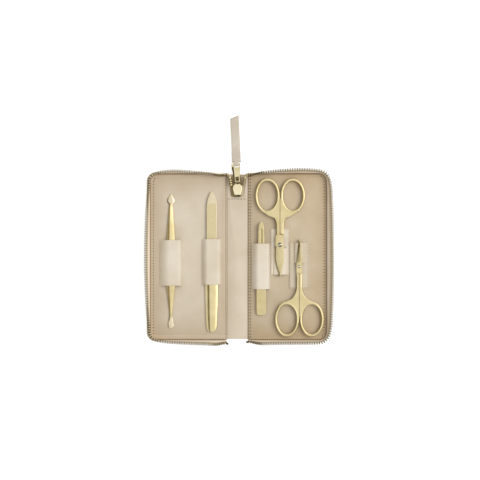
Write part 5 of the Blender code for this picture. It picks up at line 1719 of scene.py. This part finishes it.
def polished_steel(name, tones):
    """Turned and polished stainless steel, for the pivot screws. It gives a cool ring, dark where it
    mirrors the room's shadows and where its tones are set dark as painted shade, with fine turning marks."""
    material, tree, shader = blank(name)
    place = put(tree, "TexCoord").outputs["Object"]
    marks = put(tree, "TexNoise", {"Vector": place, "Scale": 1 / 0.0004, "Detail": 2.0})
    tone = put(tree, "ValToRGB", {"Fac": marks.outputs["Fac"]}, stops=tuple(zip((0.3, 0.7), tones)))
    gloss = put(tree, "MapRange", {"Value": marks.outputs["Fac"], "To Min": 0.18, "To Max": 0.34})
    feed(shader, {"Base Color": tone.outputs["Color"], "Roughness": gloss.outputs["Result"], "Metallic": 1})
    return material


# the heads' dark tones are painted shade
screw_steel = polished_steel("polished_screw_steel", ("#6A6455", "#8A8371"))
slot_steel = polished_steel("milled_slot_steel", ("#D2CBBB", "#E4DECF"))
SCREW_Z = FRONT_Z + 0.0013
SCREW_HEAD = 0.0005
SCREW_EDGE = 0.00018
SCREW_SLOT_HALF = 0.00045
SCREW_SLOT_DEPTH = 0.0002
SCREW_SHAFT_SHARE = 0.52
SCREW_TURN = math.radians(12)


def pivot_screw(name, radius, place, body, node):
    """A slotted screw: a turned head with a rounded edge on a plain shaft."""
    bpy.ops.object.select_all(action="DESELECT")
    bpy.ops.mesh.primitive_cylinder_add(
        vertices=32, radius=radius, depth=SCREW_HEAD, location=(0, 0, SCREW_Z + SCREW_HEAD / 2)
    )
    piece = sized(name, (1, 1, 1))
    work_on(piece, "EDGE", lambda e: all(v.co.z > SCREW_Z + SCREW_HEAD * 0.8 for v in e.verts))
    bpy.ops.mesh.bevel(offset=SCREW_EDGE, segments=3, affect="EDGES")
    for y in (-SCREW_SLOT_HALF, SCREW_SLOT_HALF):
        pick("FACE", lambda f: f.normal.z > 0.95)
        bpy.ops.mesh.bisect(plane_co=(0, y, 0), plane_no=(0, 1, 0))
    pick("FACE", lambda f: f.normal.z > 0.95 and abs(f.calc_center_median().y) < SCREW_SLOT_HALF / 2)
    bpy.ops.mesh.extrude_region_move(TRANSFORM_OT_translate={"value": (0, 0, -SCREW_SLOT_DEPTH)})
    piece.data.materials.append(screw_steel)
    piece.data.materials.append(slot_steel)
    piece.active_material_index = 1
    bpy.ops.object.material_slot_assign()
    pick("FACE", lambda f: f.normal.z < -0.95)
    bpy.ops.mesh.inset(thickness=radius * (1 - SCREW_SHAFT_SHARE), depth=0)
    bpy.ops.mesh.extrude_region_move(TRANSFORM_OT_translate={"value": (0, 0, REAR_Z - SCREW_Z)})
    close_up()
    soften(piece, 36)
    piece.data.transform(Matrix.Translation((*place, 0)) @ Matrix.Rotation(SCREW_TURN, 4, "Z"))
    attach(piece, body)
    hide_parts(node)


for word, scissors, place, facing in (
    ("nail_scissors", NAIL, NAIL_PLACE, 1),
    ("cuticle_scissors", CUTICLE, CUTICLE_PLACE, -1),
):
    scissors_half(word + "_back_half", scissors, False, place, facing, word, word + "_rear")
    scissors_half(word + "_top_half", scissors, True, place, facing, word + "_front", word + "_front")
    pivot_screw(word + "_pivot", scissors["screw"], place, word, word + "_screw")

for model in (stitch, hole, tooth, painted_lit_tooth):
    bpy.data.objects.remove(model)


# Studio. The case lies open on a white table under one large soft light from the right and a pale
# room, and the camera looks straight down on it. A grey card stands to the left.
TABLE_Z = -0.0001


def seen_in_picture(tree):
    """1 for rays that reach the eye straight or through a mirror or glass, and 0 for the others."""
    rays = put(tree, "LightPath")
    mirrored = {0: rays.outputs["Is Camera Ray"], 1: rays.outputs["Is Glossy Ray"]}
    seen = put(tree, "Math", mirrored, operation="MAXIMUM")
    through = {0: seen.outputs["Value"], 1: rays.outputs["Is Transmission Ray"]}
    return put(tree, "Math", through, operation="MAXIMUM").outputs["Value"]


def white_table(name):
    """Matt white card. It gives the paper-white ground of the picture and keeps a soft shadow."""
    material, tree, shader = blank(name)
    feed(shader, {"Base Color": paint("#F2F1EF"), "Roughness": 0.9, "Specular IOR Level": 0.2})
    lift = put(tree, "Math", {0: seen_in_picture(tree), 1: 0.55}, operation="MULTIPLY")
    glow = put(tree, "Emission", {"Color": paint("#FFFFFF"), "Strength": lift.outputs["Value"]})
    both = put(tree, "AddShader", {0: shader.outputs["BSDF"], 1: glow.outputs["Emission"]})
    feed(tree.nodes["Material Output"], {"Surface": both.outputs["Shader"]})
    return material


table = sheet("table", 8, 8, (0, 0, TABLE_Z))
table.data.materials.append(white_table("white_table"))

world = bpy.data.worlds.new("pale_room")
bpy.context.scene.world = world
world.use_nodes = True
tree = world.node_tree
level = put(tree, "MapRange", {"Value": seen_in_picture(tree), "To Min": 0.62, "To Max": 1.0})
feed(tree.nodes["Background"], {"Color": paint("#FFFFFF"), "Strength": level.outputs["Result"]})

# the card is out of the picture. Only the metal mirrors it, in its left edges
bpy.ops.object.select_all(action="DESELECT")
bpy.ops.mesh.primitive_plane_add(size=1, location=(-0.75, 0, 0.87), rotation=(0, math.radians(90), 0))
card = sized("grey_card", (1.70, 2.0, 1))
card_paper, _, card_shader = blank("grey_card_paper")
feed(card_shader, {"Base Color": paint("#57503F"), "Roughness": 0.9})
card.data.materials.append(card_paper)
card.visible_camera = False
card.visible_diffuse = False
card.visible_shadow = False

key = bpy.data.lights.new("key_softbox", "AREA")
key.shape = "SQUARE"
key.size = 1.1
key.energy = 12.4
key_light = bpy.data.objects.new("key_softbox", key)
key_light.location = (0.88, 0.28, 1.25)
key_light.rotation_euler = key_light.location.to_track_quat("Z", "Y").to_euler()
bpy.context.collection.objects.link(key_light)

camera_data = bpy.data.cameras.new("camera")
camera_data.lens = 121.9
camera_data.sensor_width = 36.0
camera = bpy.data.objects.new("camera", camera_data)
camera.location = (0.0024, 0.0154, 1.5)
bpy.context.collection.objects.link(camera)
bpy.context.scene.camera = camera
bpy.context.scene.view_settings.view_transform = "Standard"
